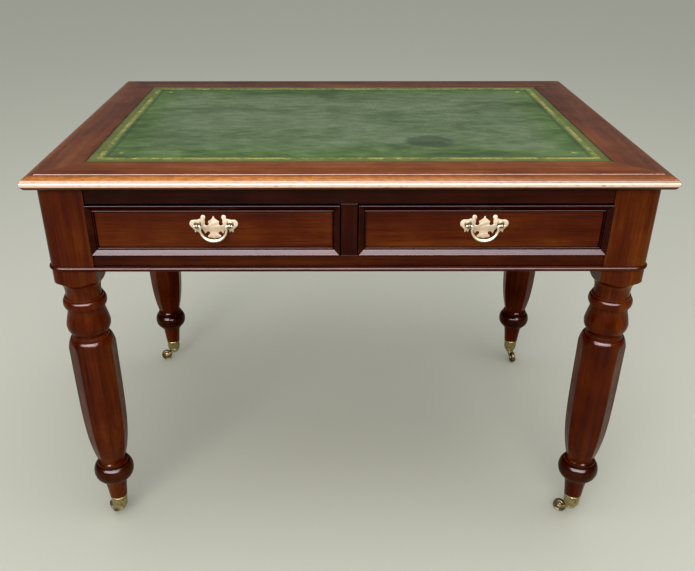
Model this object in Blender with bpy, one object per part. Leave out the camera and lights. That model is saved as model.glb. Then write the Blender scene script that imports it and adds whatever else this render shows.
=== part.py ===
"""Writing desk with two drawers, a leather-lined top and turned legs on brass castors.

Metres, +Z up. The origin is on the floor, under the middle of the top. The drawers
face -Y and slide out along it. Neighbouring pieces keep a gap of GAP.
"""

import math

import bmesh
import bpy
from mathutils import Matrix, Vector

GAP = 0.0003
OVERCUT = 0.002

# Top
TOP_WIDTH = 1.062
TOP_DEPTH = 0.736
HEIGHT = 0.765
TOP_THICKNESS = 0.022
BORDER_WIDTH = 0.084
LEATHER_THICKNESS = 0.0012
TONGUE_LENGTH = 0.008
TONGUE_THICKNESS = 0.006
TONGUE_RISE = 0.008

# Legs and frieze
LEG_X = 0.475
LEG_Y = 0.312
BLOCK = 0.073
CORNER_RADIUS = 0.020
LEG_SIDES = 16
FRIEZE_BOTTOM = 0.5925
RAIL_THICKNESS = 0.022
FRONT_RAIL_DEPTH = 0.060
TENON_THICKNESS = 0.009
TENON_LENGTH = 0.028
TENON_INSET = 0.0065
TENON_SHOULDER = 0.012
RAIL_SHOULDER = 0.006
TAIL_DEPTH = 0.018
STUB_LENGTH = 0.008
BEAD_HEIGHT = 0.009
BEAD_DEPTH = 0.007

# Drawers
OPENING_BOTTOM = 0.6212
OPENING_TOP = 0.7142
DIVIDER_WIDTH = 0.028
DRAWER_SIDE_CLEARANCE = 0.0012
DRAWER_TOP_CLEARANCE = 0.0017
DRAWER_LENGTH = 0.580
PANEL_SUNK = 0.005
FRONT_THICKNESS = 0.020
LAP = 0.007
LINING = 0.010
BACK_THICKNESS = 0.009
LINING_DROP = 0.004
BOTTOM_THICKNESS = 0.006
BOTTOM_RISE = 0.006
GROOVE_DEPTH = 0.005
MOULDING_WIDTH = 0.0133
RUNNER_THICKNESS = 0.018
RUNNER_WIDTH = 0.0155
GUIDE_HEIGHT = 0.019
GUIDE_LAP = 0.004
STOP_SIZE = (0.030, 0.014, 0.0045)
STOP_SPACING = 0.240

# Handles
HANDLE_HEIGHT = 0.6775
POST_SPACING = 0.0546
PLATE_THICKNESS = 0.0018
PIVOT_PROJECTION = 0.012
SHANK_RADIUS = 0.0020
SHANK_REACH = 0.006
PIN_RADIUS = 0.0019
BAIL_RADIUS = 0.0028
BAIL_HALF_WIDTH = 0.0228
BAIL_DROP = 0.0265
BAIL_ELBOW = 0.0026
BAIL_SHOULDER = -0.0062
KNOB_RADIUS = 0.0035
BAIL_POWER = 2.25

# Castors
CUP_TOP = 0.0590
CUP_BOTTOM = 0.0262
CUP_FLOOR = 0.0285
WHEEL_RADIUS = 0.0135
WHEEL_WIDTH = 0.0090
TRAIL = 0.0220
AXLE_RADIUS = 0.0018
SWIVEL_PIN_RADIUS = 0.0022
ARM_THICKNESS = 0.0022
FORK_CLEARANCE = 0.0005
SWIVEL_CLEARANCE = 0.0004
TURNED_SIDES = 12
ROD_SIDES = 8
WHEEL_SIDES = 16

# Worked out from the above
TOP_UNDERSIDE = HEIGHT - TOP_THICKNESS
CARCASE_TOP = TOP_UNDERSIDE - GAP
FACE_X = LEG_X + BLOCK / 2
FACE_Y = LEG_Y + BLOCK / 2
INNER_X = LEG_X - BLOCK / 2
INNER_Y = LEG_Y - BLOCK / 2
BEAD_MIDDLE = FRIEZE_BOTTOM + BEAD_HEIGHT / 2
DRAWER_WIDTH = INNER_X - DIVIDER_WIDTH / 2 - 2 * DRAWER_SIDE_CLEARANCE
DRAWER_X = (INNER_X + DIVIDER_WIDTH / 2) / 2
DRAWER_BOTTOM = OPENING_BOTTOM + GAP
DRAWER_TOP = OPENING_TOP - DRAWER_TOP_CLEARANCE
PANEL_Y = -FACE_Y + PANEL_SUNK
FRONT_REAR_Y = PANEL_Y + FRONT_THICKNESS
DRAWER_REAR_Y = PANEL_Y + DRAWER_LENGTH
PIVOT_Y = PANEL_Y - PIVOT_PROJECTION

LEGS = {
    "front_left": (-1, -1, math.radians(141)),
    "front_right": (1, -1, math.radians(143)),
    "back_left": (-1, 1, math.radians(196)),
    "back_right": (1, 1, math.radians(-79)),
}

FINISHES = {
    "mahogany": ((0.105, 0.022, 0.009), 0.22, 0.0),
    "mahogany_top": ((0.190, 0.060, 0.026), 0.24, 0.0),
    "oak": ((0.330, 0.190, 0.090), 0.60, 0.0),
    "pine": ((0.480, 0.320, 0.170), 0.70, 0.0),
    "leather": ((0.045, 0.110, 0.050), 0.45, 0.0),
    "brass": ((0.780, 0.640, 0.360), 0.28, 1.0),
    "old_brass": ((0.260, 0.190, 0.080), 0.45, 1.0),
    "iron": ((0.090, 0.085, 0.080), 0.50, 1.0),
}


def clear_scene():
    for old in list(bpy.data.objects):
        bpy.data.objects.remove(old, do_unlink=True)


# Meshes


def solid(vertices, faces):
    """A closed mesh with its faces pointing out."""
    mesh = bpy.data.meshes.new("solid")
    mesh.from_pydata(vertices, [], faces)
    shell = bmesh.new()
    shell.from_mesh(mesh)
    bmesh.ops.recalc_face_normals(shell, faces=shell.faces)
    shell.to_mesh(mesh)
    shell.free()
    return mesh


def prism(outline, axis, low, high):
    """The outline extruded along an axis. It is given as (y, z), (x, z) or (x, y)."""
    places = {
        "X": lambda a, b, along: (along, a, b),
        "Y": lambda a, b, along: (a, along, b),
        "Z": lambda a, b, along: (a, b, along),
    }
    place = places[axis]
    count = len(outline)
    vertices = [place(a, b, along) for along in (low, high) for a, b in outline]
    faces = [tuple(range(count)), tuple(range(count, 2 * count))]
    for i in range(count):
        after = (i + 1) % count
        faces.append((i, after, after + count, i + count))
    return solid(vertices, faces)


def box(low, high):
    (x0, y0, z0), (x1, y1, z1) = low, high
    return prism([(x0, y0), (x1, y0), (x1, y1), (x0, y1)], "Z", z0, z1)


def swept(rings, closed=False):
    """Rings of matching points joined in order, as a loop or with a cap at each end."""
    count = len(rings[0])
    vertices = [point for ring in rings for point in ring]
    faces = []
    for i in range(len(rings) if closed else len(rings) - 1):
        here = i * count
        there = ((i + 1) % len(rings)) * count
        for j in range(count):
            after = (j + 1) % count
            faces.append((here + j, here + after, there + after, there + j))
    if not closed:
        faces.append(tuple(range(count)))
        faces.append(tuple(range(len(vertices) - count, len(vertices))))
    return solid(vertices, faces)


def turned(profile, sides=TURNED_SIDES, hollow=False, phase=0.5):
    """(radius, height) points turned about Z. A hollow profile closes on itself."""
    angles = [2 * math.pi * (i + phase) / sides for i in range(sides)]
    rings = [[(r * math.cos(a), r * math.sin(a), z) for a in angles] for r, z in profile]
    return swept(rings, closed=hollow)


def rod(radius, start, end):
    """A round bar from start to end."""
    axis = Vector(end) - Vector(start)
    mesh = turned([(radius, 0.0), (radius, axis.length)], ROD_SIDES)
    mesh.transform(Matrix.Translation(start) @ axis.to_track_quat("Z", "Y").to_matrix().to_4x4())
    return mesh


def boolean(mesh, others, operation):
    """The mesh after an exact Boolean with each of the others."""
    target = bpy.data.objects.new("target", mesh)
    helpers = [bpy.data.objects.new("helper", other) for other in others]
    for piece in [target] + helpers:
        bpy.context.scene.collection.objects.link(piece)
    for helper in helpers:
        helper.hide_render = True
        helper.display_type = "WIRE"
        modifier = target.modifiers.new("boolean", "BOOLEAN")
        modifier.operation = operation
        modifier.solver = "EXACT"
        modifier.object = helper
    graph = bpy.context.evaluated_depsgraph_get()
    result = bpy.data.meshes.new_from_object(target.evaluated_get(graph))
    for piece in [target] + helpers:
        bpy.data.objects.remove(piece, do_unlink=True)
    return result


def cut(mesh, *cutters):
    return boolean(mesh, cutters, "DIFFERENCE")


def join(mesh, *others):
    return boolean(mesh, others, "UNION")


def grown(low, high):
    """The corners of a box made larger by the gap all round."""
    spare = Vector((GAP, GAP, GAP))
    return Vector(low) - spare, Vector(high) + spare


# Objects


def finish(name, kind):
    """The piece's own material."""
    colour, roughness, metallic = FINISHES[kind]
    material = bpy.data.materials.new(name + "_" + kind)
    material.use_nodes = True
    shader = material.node_tree.nodes["Principled BSDF"]
    shader.inputs["Base Color"].default_value = (*colour, 1.0)
    shader.inputs["Roughness"].default_value = roughness
    shader.inputs["Metallic"].default_value = metallic
    material.diffuse_color = (*colour, 1.0)
    return material


def frame(name, place, parent=None):
    """An empty that carries the pieces of one moving body."""
    empty = bpy.data.objects.new(name, None)
    empty.empty_display_size = 0.05
    bpy.context.scene.collection.objects.link(empty)
    put(empty, place, parent)
    return empty


def put(piece, place, parent):
    """Places a piece in world metres under its parent."""
    if parent:
        piece.parent = parent
        piece.location = Vector(place) - parent.matrix_world.translation
    else:
        piece.location = place
    bpy.context.view_layer.update()


def add(name, mesh, kind, origin=(0.0, 0.0, 0.0), parent=None, turn=0.0):
    """One named piece. Its mesh is given about its origin, turned about Z."""
    piece = bpy.data.objects.new(name, mesh.copy())
    piece.data.name = name
    piece.data.materials.clear()
    piece.data.materials.append(finish(name, kind))
    piece.data.shade_smooth()
    piece.data.set_sharp_from_angle(angle=math.radians(32))
    bpy.context.scene.collection.objects.link(piece)
    piece.rotation_euler = (0.0, 0.0, turn)
    put(piece, origin, parent)
    return piece


def add_in_place(name, mesh, kind, parent):
    """One named piece whose mesh is given in world metres, under its body's empty."""
    origin = parent.matrix_world.translation
    moved = mesh.copy()
    moved.transform(Matrix.Translation(-origin))
    return add(name, moved, kind, origin, parent)


# Top


def border_profile():
    """(inwards from the nose, height) round the border, from the groove over the edge."""
    nose_z = HEIGHT - 0.0115
    points = [(BORDER_WIDTH, HEIGHT), (0.0205, HEIGHT), (0.0200, HEIGHT - 0.0012)]
    for step in range(1, 4):
        angle = math.radians(90 * step / 3)
        inwards = 0.0200 - 0.0185 * math.sin(angle)
        points.append((inwards, nose_z + 0.0025 + (HEIGHT - 0.0037 - nose_z) * math.cos(angle)))
    points += [(0.0, nose_z), (0.0015, nose_z - 0.0045), (0.0060, TOP_UNDERSIDE)]
    groove_low = TOP_UNDERSIDE + TONGUE_RISE - GAP
    groove_high = groove_low + TONGUE_THICKNESS + 2 * GAP
    bottom = BORDER_WIDTH - TONGUE_LENGTH - GAP
    points += [(BORDER_WIDTH, TOP_UNDERSIDE), (BORDER_WIDTH, groove_low)]
    points += [(bottom, groove_low), (bottom, groove_high), (BORDER_WIDTH, groove_high)]
    return points


def border(side):
    """One mitred border: the front one, turned to the side asked for."""
    length, depth = (TOP_WIDTH, TOP_DEPTH) if side in ("front", "back") else (TOP_DEPTH, TOP_WIDTH)
    rings = []
    for end in (-1, 1):
        ring = []
        for inwards, z in border_profile():
            ring.append((end * (length / 2 - inwards - GAP), inwards - depth / 2, z))
        rings.append(ring)
    mesh = swept(rings)
    quarter_turns = {"front": 0, "right": 1, "back": 2, "left": 3}[side]
    mesh.transform(Matrix.Rotation(quarter_turns * math.pi / 2, 4, "Z"))
    return mesh


def make_top():
    for side in ("front", "back", "left", "right"):
        add("top_border_" + side, border(side), "mahogany_top")
    half_x = TOP_WIDTH / 2 - BORDER_WIDTH - GAP
    half_y = TOP_DEPTH / 2 - BORDER_WIDTH - GAP
    panel_top = HEIGHT - LEATHER_THICKNESS - 2 * GAP
    tongue_low = TOP_UNDERSIDE + TONGUE_RISE
    tongue_high = tongue_low + TONGUE_THICKNESS
    board = box((-half_x, -half_y, TOP_UNDERSIDE), (half_x, half_y, panel_top))
    reach_x = half_x + TONGUE_LENGTH - GAP
    reach_y = half_y + TONGUE_LENGTH - GAP
    tongue = box((-reach_x, -reach_y, tongue_low), (reach_x, reach_y, tongue_high))
    add("top_panel", join(board, tongue), "mahogany_top")
    leather = box((-half_x, -half_y, panel_top + GAP), (half_x, half_y, HEIGHT - GAP))
    add("leather_inset", leather, "leather")


# Legs


def bulge(low, high, end_radius, full_radius, steps):
    """(height, radius) points of a half-round moulding between two heights."""
    points = []
    for step in range(steps + 1):
        angle = math.pi * (step / steps - 0.5)
        height = (low + high) / 2 + (high - low) / 2 * math.sin(angle)
        points.append((height, end_radius + (full_radius - end_radius) * math.cos(angle)))
    return points


def shaft_radius(height):
    """The corner radius of the eight-sided shaft, which narrows fast near the foot."""
    down = max(0.0, (0.430 - height) / 0.276)
    return 0.0428 - 0.0008 * down - 0.0160 * down**5.5


def leg_turning():
    """(height, radius) up the turned outline. A radius of 1 leaves the section whole."""
    foot = [(0.0308, 0.0107), (0.0370, 0.0125), (CUP_TOP, 0.0146), (CUP_TOP + GAP, 0.0174)]
    foot += [(0.1035, 0.0222), (0.1040, 0.0262)]
    bulb = bulge(0.1100, 0.1470, 0.0280, 0.0390, 4)
    collar = [(0.1520, 0.0292), (0.1525, 0.0262)]
    shaft = [(height, 1.0) for height in (0.155, 0.178, 0.212, 0.290, 0.421)]
    shoulder = [(0.4265, 0.0424), (0.4340, 0.0408), (0.4440, 0.0362), (0.4445, 0.0336)]
    vase = [(0.4515, 0.0320), (0.4640, 0.0380), (0.4730, 0.0392), (0.4850, 0.0368)]
    vase.append((0.5080, 0.0334))
    ring = bulge(0.5085, 0.5265, 0.0340, 0.0385, 3)
    neck = [(0.5300, 0.0340), (0.5305, 0.0316), (0.5500, 0.0326), (0.5570, 0.0356)]
    neck.append((0.5660, 0.0450))
    block = [(0.5700, 1.0), (CARCASE_TOP, 1.0)]
    return foot + bulb + collar + shaft + shoulder + vase + ring + neck + block


def octagon_radius(height, angle):
    flat = shaft_radius(height) * math.cos(math.pi / 8)
    away = (angle + math.pi / 8) % (math.pi / 4) - math.pi / 8
    return flat / math.cos(away)


def block_radius(angle, outer_angle):
    """Distance to the square block's face, round at the desk's own corner."""
    along = max(abs(math.cos(angle)), abs(math.sin(angle)))
    square = BLOCK / 2 / along
    away = (angle - outer_angle + math.pi) % (2 * math.pi) - math.pi
    if abs(away) > math.pi / 4 + 0.001:
        return square
    middle = BLOCK / 2 - CORNER_RADIUS
    reach = middle * math.sqrt(2) * math.cos(away)
    round_corner = reach + math.sqrt(reach**2 - 2 * middle**2 + CORNER_RADIUS**2)
    return min(square, round_corner) if abs(away) < math.radians(21) else square


def leg_section(height, turning, outer_angle):
    """One ring of the leg: the smaller of its turned and its squared outline."""
    ring = []
    for i in range(LEG_SIDES):
        angle = 2 * math.pi * i / LEG_SIDES
        radius = turning
        if 0.154 < height < 0.450:
            radius = min(radius, octagon_radius(height, angle))
        if height > 0.540:
            radius = min(radius, block_radius(angle, outer_angle))
        ring.append((radius * math.cos(angle), radius * math.sin(angle), height))
    return ring


def side_tenon(side_x, end_y):
    """The box of a side rail's tenon inside one leg."""
    outer = FACE_X - TENON_INSET
    x0, x1 = sorted((side_x * outer, side_x * (outer - TENON_THICKNESS)))
    y0, y1 = sorted((end_y * (INNER_Y - OVERCUT), end_y * (INNER_Y + TENON_LENGTH)))
    return (x0, y0, FRIEZE_BOTTOM + TENON_SHOULDER), (x1, y1, CARCASE_TOP - TENON_SHOULDER)


def back_tenon(side_x):
    outer = FACE_Y - TENON_INSET
    x0, x1 = sorted((side_x * (INNER_X - OVERCUT), side_x * (INNER_X + TENON_LENGTH)))
    low = (x0, outer - TENON_THICKNESS, FRIEZE_BOTTOM + TENON_SHOULDER)
    return low, (x1, outer, CARCASE_TOP - TENON_SHOULDER)


def front_tenons(side_x):
    """The bottom rail's pair of tenons."""
    x0, x1 = sorted((side_x * (INNER_X - OVERCUT), side_x * (INNER_X + TENON_LENGTH)))
    boxes = []
    for inset in (TENON_INSET, FRONT_RAIL_DEPTH - TENON_INSET - TENON_THICKNESS):
        y0 = -FACE_Y + inset
        low = (x0, y0, FRIEZE_BOTTOM + RAIL_SHOULDER)
        boxes.append((low, (x1, y0 + TENON_THICKNESS, OPENING_BOTTOM - RAIL_SHOULDER)))
    return boxes


def top_rail_tail(side_x, spare=0.0):
    """The dovetail that drops into the top of a front leg."""
    middle = -FACE_Y + FRONT_RAIL_DEPTH / 2
    root = side_x * (INNER_X - OVERCUT)
    end = side_x * (INNER_X + TENON_LENGTH + spare)
    half_root = 0.014 + spare
    half_end = 0.019 + spare
    outline = [(root, middle - half_root), (end, middle - half_end)]
    outline += [(end, middle + half_end), (root, middle + half_root)]
    top = CARCASE_TOP + (OVERCUT if spare else 0.0)
    return prism(outline, "Z", CARCASE_TOP - TAIL_DEPTH - spare, top)


def make_legs():
    for place, (side_x, side_y, _) in LEGS.items():
        outer_angle = math.atan2(side_y, side_x)
        rings = [leg_section(z, turning, outer_angle) for z, turning in leg_turning()]
        mesh = swept(rings)
        mesh.transform(Matrix.Translation((side_x * LEG_X, side_y * LEG_Y, 0.0)))
        mortises = [box(*grown(*side_tenon(side_x, side_y)))]
        if side_y > 0:
            mortises.append(box(*grown(*back_tenon(side_x))))
        else:
            mortises += [box(*grown(*tenon)) for tenon in front_tenons(side_x)]
            mortises.append(top_rail_tail(side_x, GAP))
        add("leg_" + place, cut(mesh, *mortises), "mahogany")


# Frieze


def stub(side_y, low_z, high_z, half_width, at_y):
    """The box of a stub tenon on the end of a front-to-back piece."""
    y0, y1 = sorted((at_y - side_y * OVERCUT, at_y + side_y * STUB_LENGTH))
    return (-half_width, y0, low_z), (half_width, y1, high_z)


def kicker_stubs():
    low, high = OPENING_TOP + 0.0078, CARCASE_TOP - 0.0077
    front = stub(-1, low, high, 0.012, -FACE_Y + FRONT_RAIL_DEPTH)
    back = stub(1, low, high, 0.012, FACE_Y - RAIL_THICKNESS)
    return front, back


def divider_stub(end_z, direction):
    z0, z1 = sorted((end_z - direction * OVERCUT, end_z + direction * STUB_LENGTH))
    half = DIVIDER_WIDTH / 2 - STUB_LENGTH
    rear = -FACE_Y + FRONT_RAIL_DEPTH - TENON_SHOULDER
    return (-half, -FACE_Y + TENON_SHOULDER, z0), (half, rear, z1)


def drawer_stops():
    """Small blocks on the bottom rail, which the drawer fronts close against."""
    length, width, height = STOP_SIZE
    front = FRONT_REAR_Y + GAP
    blocks = []
    for middle in (-DRAWER_X, DRAWER_X):
        for x in (middle - STOP_SPACING / 2, middle + STOP_SPACING / 2):
            low = (x - length / 2, front, OPENING_BOTTOM - OVERCUT)
            blocks.append(box(low, (x + length / 2, front + width, OPENING_BOTTOM + height)))
    return blocks


def make_frieze():
    reach = INNER_X - GAP
    front_rear = -FACE_Y + FRONT_RAIL_DEPTH
    back_inner = FACE_Y - RAIL_THICKNESS
    front_stub, back_stub = kicker_stubs()

    low_stub = divider_stub(OPENING_BOTTOM, -1)
    high_stub = divider_stub(OPENING_TOP, 1)
    rail = box((-reach, -FACE_Y, FRIEZE_BOTTOM), (reach, front_rear, OPENING_BOTTOM))
    tenons = [box(*corners) for side_x in (-1, 1) for corners in front_tenons(side_x)]
    rail = cut(join(rail, *tenons, *drawer_stops()), box(*grown(*low_stub)))
    add("front_bottom_rail", rail, "mahogany")

    rail = box((-reach, -FACE_Y, OPENING_TOP), (reach, front_rear, CARCASE_TOP))
    rail = join(rail, top_rail_tail(-1), top_rail_tail(1))
    rail = cut(rail, box(*grown(*high_stub)), box(*grown(*front_stub)))
    add("front_top_rail", rail, "mahogany")

    half = DIVIDER_WIDTH / 2
    low = (-half, -FACE_Y, OPENING_BOTTOM + GAP)
    divider = box(low, (half, front_rear, OPENING_TOP - GAP))
    add("drawer_divider", join(divider, box(*low_stub), box(*high_stub)), "mahogany")

    rail = box((-reach, back_inner, FRIEZE_BOTTOM), (reach, FACE_Y, CARCASE_TOP))
    rail = join(rail, box(*back_tenon(-1)), box(*back_tenon(1)))
    add("back_rail", cut(rail, box(*grown(*back_stub))), "mahogany")

    for side, side_x in (("left", -1), ("right", 1)):
        x0, x1 = sorted((side_x * FACE_X, side_x * (FACE_X - RAIL_THICKNESS)))
        end = INNER_Y - GAP
        rail = box((x0, -end, FRIEZE_BOTTOM), (x1, end, CARCASE_TOP))
        rail = join(rail, box(*side_tenon(side_x, -1)), box(*side_tenon(side_x, 1)))
        add("side_rail_" + side, rail, "mahogany")

    low = (-0.020, front_rear + GAP, OPENING_TOP + 0.001)
    kicker = box(low, (0.020, back_inner - GAP, CARCASE_TOP))
    add("centre_kicker", join(kicker, box(*front_stub), box(*back_stub)), "pine")


def make_runners():
    """What the drawers slide on, level with the bottom rail, with a guide on each."""
    front = -FACE_Y + FRONT_RAIL_DEPTH + GAP
    back = FACE_Y - RAIL_THICKNESS - GAP
    bottom = OPENING_BOTTOM - RUNNER_THICKNESS
    guide_top = OPENING_BOTTOM + GUIDE_HEIGHT
    half_divider = DIVIDER_WIDTH / 2
    for side, side_x in (("left", -1), ("right", 1)):
        inner = INNER_X - 0.0010
        outer = FACE_X - RAIL_THICKNESS - GAP
        x0, x1 = sorted((side_x * inner, side_x * (inner - RUNNER_WIDTH)))
        strip = box((x0, front, bottom), (x1, back, OPENING_BOTTOM))
        x0, x1 = sorted((side_x * outer, side_x * (inner - GUIDE_LAP)))
        end = INNER_Y - 2 * GAP
        base = box((x0, -end, bottom), (x1, end, OPENING_BOTTOM))
        x0, x1 = sorted((side_x * outer, side_x * (INNER_X + GAP)))
        guide = box((x0, -end, OPENING_BOTTOM - GUIDE_LAP), (x1, end, guide_top))
        add("runner_" + side, join(strip, base, guide), "pine")
    half_base = half_divider + RUNNER_WIDTH
    base = box((-half_base, front, bottom), (half_base, back, OPENING_BOTTOM))
    half_guide = half_divider - GAP
    guide_low = (-half_guide, front, OPENING_BOTTOM - GUIDE_LAP)
    guide = box(guide_low, (half_guide, back, guide_top))
    add("runner_centre", join(base, guide), "pine")


def bead_ring(x, y, normal):
    """The half-round bead's section where it passes (x, y), standing out along normal."""
    ring = []
    for step in range(7):
        angle = math.pi * (step / 6 - 0.5)
        out = GAP + BEAD_DEPTH * math.cos(angle)
        z = BEAD_MIDDLE + BEAD_HEIGHT / 2 * math.sin(angle)
        ring.append((x + normal[0] * out, y + normal[1] * out, z))
    return ring


def make_beads():
    """Straight beads at the front and back, and one round each end and its corners."""
    for side, side_y in (("front", -1), ("back", 1)):
        rings = [bead_ring(x, side_y * FACE_Y, (0, side_y)) for x in (GAP - LEG_X, LEG_X - GAP)]
        add("bead_" + side, swept(rings), "mahogany")
    for side, side_x in (("left", -1), ("right", 1)):
        rings = []
        for side_y in (-1, 1):
            corner = [bead_ring(side_x * LEG_X, side_y * FACE_Y, (0, side_y))]
            for step in range(7):
                angle = math.radians(90 * step / 6)
                normal = (side_x * math.sin(angle), side_y * math.cos(angle))
                x = side_x * (FACE_X - CORNER_RADIUS) + normal[0] * CORNER_RADIUS
                y = side_y * (FACE_Y - CORNER_RADIUS) + normal[1] * CORNER_RADIUS
                corner.append(bead_ring(x, y, normal))
            rings += corner if side_y < 0 else corner[::-1]
        add("bead_" + side, swept(rings), "mahogany")


# Drawers


def comb(root, tip, low, high, tails, beyond):
    """Dovetails between two boards, as (y, z) outlines: the tails, then the pins.

    The outer pins reach past low and high by the distance beyond.
    """
    pitch = (high - low) / tails
    direction = math.copysign(1.0, tip - root)
    near = root - direction * GAP
    far = tip + direction * GAP
    half_root = pitch * 0.27
    half_tip = pitch * 0.34
    middles = [low + pitch * (i + 0.5) for i in range(tails)]
    tail_shapes = []
    edges = [(low - beyond, low - beyond)]
    for middle in middles:
        lower = (middle - half_root - GAP / 2, middle - half_tip - GAP / 2)
        upper = (middle + half_root + GAP / 2, middle + half_tip + GAP / 2)
        outline = [(root, lower[0]), (far, lower[1]), (far, upper[1]), (root, upper[0])]
        tail_shapes.append(outline)
        edges += [(lower[0] + GAP, lower[1] + GAP), (upper[0] - GAP, upper[1] - GAP)]
    edges.append((high + beyond, high + beyond))
    pin_shapes = []
    for below, above in zip(edges[::2], edges[1::2]):
        pin_shapes.append([(near, below[0]), (far, below[1]), (far, above[1]), (near, above[0])])
    return tail_shapes, pin_shapes


def opened(outline, closed_end):
    """The outline with its other end carried on past the board that it is cut from."""
    far = [y for y, _ in outline if abs(y - closed_end) > GAP / 10]
    past = math.copysign(OVERCUT, far[0] - closed_end)
    return [(y if abs(y - closed_end) <= GAP / 10 else y + past, z) for y, z in outline]


def moulding_section():
    """(inwards from the drawer's edge, out from its panel) of the applied moulding."""
    section = [(0.0, 0.0), (0.0, 0.0068)]
    for step in range(1, 4):
        angle = math.radians(180 - 45 * step)
        section.append((0.0022 + 0.0022 * math.cos(angle), 0.0068 + 0.0022 * math.sin(angle)))
    section += [(0.0044, 0.0068), (0.0048, 0.0062), (0.0075, 0.0052), (0.0098, 0.0030)]
    section += [(0.0110, 0.0024), (0.0112, 0.0030), (0.0125, 0.0030), (0.0133, 0.0020)]
    section.append((MOULDING_WIDTH, 0.0))
    return section


def make_moulding(name, x0, x1, kind, parent):
    """Four mitred lengths glued up as one frame round the drawer front."""
    rings = []
    for side_x, side_z in ((-1, -1), (1, -1), (1, 1), (-1, 1)):
        ring = []
        for inwards, out in moulding_section():
            x = (x0 + inwards) if side_x < 0 else (x1 - inwards)
            z = (DRAWER_BOTTOM + inwards) if side_z < 0 else (DRAWER_TOP - inwards)
            ring.append((x, PANEL_Y - GAP - out, z))
        rings.append(ring)
    add_in_place(name, swept(rings, closed=True), kind, parent)


def make_drawer(side, side_x):
    middle = side_x * DRAWER_X
    x0 = middle - DRAWER_WIDTH / 2
    x1 = middle + DRAWER_WIDTH / 2
    name = side + "_drawer"
    body = frame(name, (middle, PANEL_Y, (DRAWER_BOTTOM + DRAWER_TOP) / 2))

    lining_top = DRAWER_TOP - LINING_DROP
    bottom_low = DRAWER_BOTTOM + BOTTOM_RISE
    bottom_high = bottom_low + BOTTOM_THICKNESS
    back_low = bottom_high + GAP
    back_top = lining_top - 0.0035
    back_front_y = DRAWER_REAR_Y - BACK_THICKNESS
    groove_low = bottom_low - GAP
    groove_high = bottom_high + GAP
    front_comb = comb(FRONT_REAR_Y, PANEL_Y + LAP, DRAWER_BOTTOM, lining_top, 3, 0.01)
    back_comb = comb(back_front_y, DRAWER_REAR_Y, back_low, back_top, 2, GAP)

    for which, edge, inward in (("left", x0, 1), ("right", x1, -1)):
        a, b = sorted((edge, edge + inward * LINING))
        groove_edge = edge + inward * (LINING - GROOVE_DEPTH)
        g0, g1 = sorted((groove_edge, edge + inward * (LINING + OVERCUT)))
        groove = ((g0, PANEL_Y, groove_low), (g1, DRAWER_REAR_Y + OVERCUT, groove_high))
        board = box((a, PANEL_Y + LAP, DRAWER_BOTTOM), (b, DRAWER_REAR_Y, lining_top))
        pins = front_comb[1] + [opened(shape, back_front_y - GAP) for shape in back_comb[1]]
        cutters = [prism(shape, "X", a - OVERCUT, b + OVERCUT) for shape in pins]
        cutters.append(box(*groove))
        add_in_place(name + "_side_" + which, cut(board, *cutters), "oak", body)

    front = box((x0, PANEL_Y, DRAWER_BOTTOM), (x1, FRONT_REAR_Y, DRAWER_TOP))
    cutters = []
    for tail in front_comb[0]:
        socket = opened(tail, PANEL_Y + LAP - GAP)
        cutters.append(prism(socket, "X", x0 - OVERCUT, x0 + LINING + GAP))
        cutters.append(prism(socket, "X", x1 - LINING - GAP, x1 + OVERCUT))
    groove_y = FRONT_REAR_Y - GROOVE_DEPTH
    groove_in = LINING - GROOVE_DEPTH
    high = (x1 - groove_in, FRONT_REAR_Y + OVERCUT, groove_high)
    cutters.append(box((x0 + groove_in, groove_y, groove_low), high))
    for post_x in (middle - POST_SPACING / 2, middle + POST_SPACING / 2):
        start = (post_x, PANEL_Y - OVERCUT, HANDLE_HEIGHT)
        end = (post_x, FRONT_REAR_Y + OVERCUT, HANDLE_HEIGHT)
        cutters.append(rod(SHANK_RADIUS + 2 * GAP, start, end))
    add_in_place(name + "_front", cut(front, *cutters), "mahogany", body)

    back = box((x0, back_front_y, back_low), (x1, DRAWER_REAR_Y, back_top))
    cutters = []
    for tail in back_comb[0]:
        socket = opened(opened(tail, DRAWER_REAR_Y + GAP), back_front_y - OVERCUT)
        cutters.append(prism(socket, "X", x0 - OVERCUT, x0 + LINING + GAP))
        cutters.append(prism(socket, "X", x1 - LINING - GAP, x1 + OVERCUT))
    add_in_place(name + "_back", cut(back, *cutters), "oak", body)

    inset = groove_in + GAP
    low = (x0 + inset, groove_y + GAP, bottom_low)
    bottom = box(low, (x1 - inset, DRAWER_REAR_Y, bottom_high))
    add_in_place(name + "_bottom", bottom, "oak", body)

    make_moulding(name + "_moulding", x0, x1, "mahogany", body)
    make_handle(side + "_handle", middle, body)


# Handles


def arc(centre, radius, start, end, steps):
    """Points round part of a circle, between two angles in degrees."""
    points = []
    for step in range(steps + 1):
        angle = math.radians(start + (end - start) * step / steps)
        x = centre[0] + radius * math.cos(angle)
        points.append((x, centre[1] + radius * math.sin(angle)))
    return points


def plate_outline():
    """The pierced-edge backplate about the middle of the line through its posts."""
    half = [(0.0, 0.0138), (0.0016, 0.0122), (0.0017, 0.0106), (0.0040, 0.0084), (0.0092, 0.0045)]
    half += arc((0.0118, 0.0004), 0.0034, 130, 405, 5)
    half += arc((0.0172, 0.0118), 0.0041, 235, -35, 5)
    half += [(0.0240, 0.0089), (0.0290, 0.0073)]
    half += arc((0.0336, 0.0004), 0.0070, 95, -50, 4)
    half += [(0.0330, -0.0100), (0.0320, -0.0156), (0.0290, -0.0128), (0.0264, -0.0156)]
    half += [(0.0250, -0.0105), (0.0205, -0.0085), (0.0180, -0.0115), (0.0154, -0.0172)]
    half += arc((0.0104, -0.0166), 0.0033, 10, 245, 4)
    half += arc((0.0088, -0.0222), 0.0024, 95, -95, 3)
    half += [(0.0045, -0.0246), (0.0022, -0.0258)]
    return half + [(-x, z) for x, z in reversed(half) if x > 0]


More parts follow.
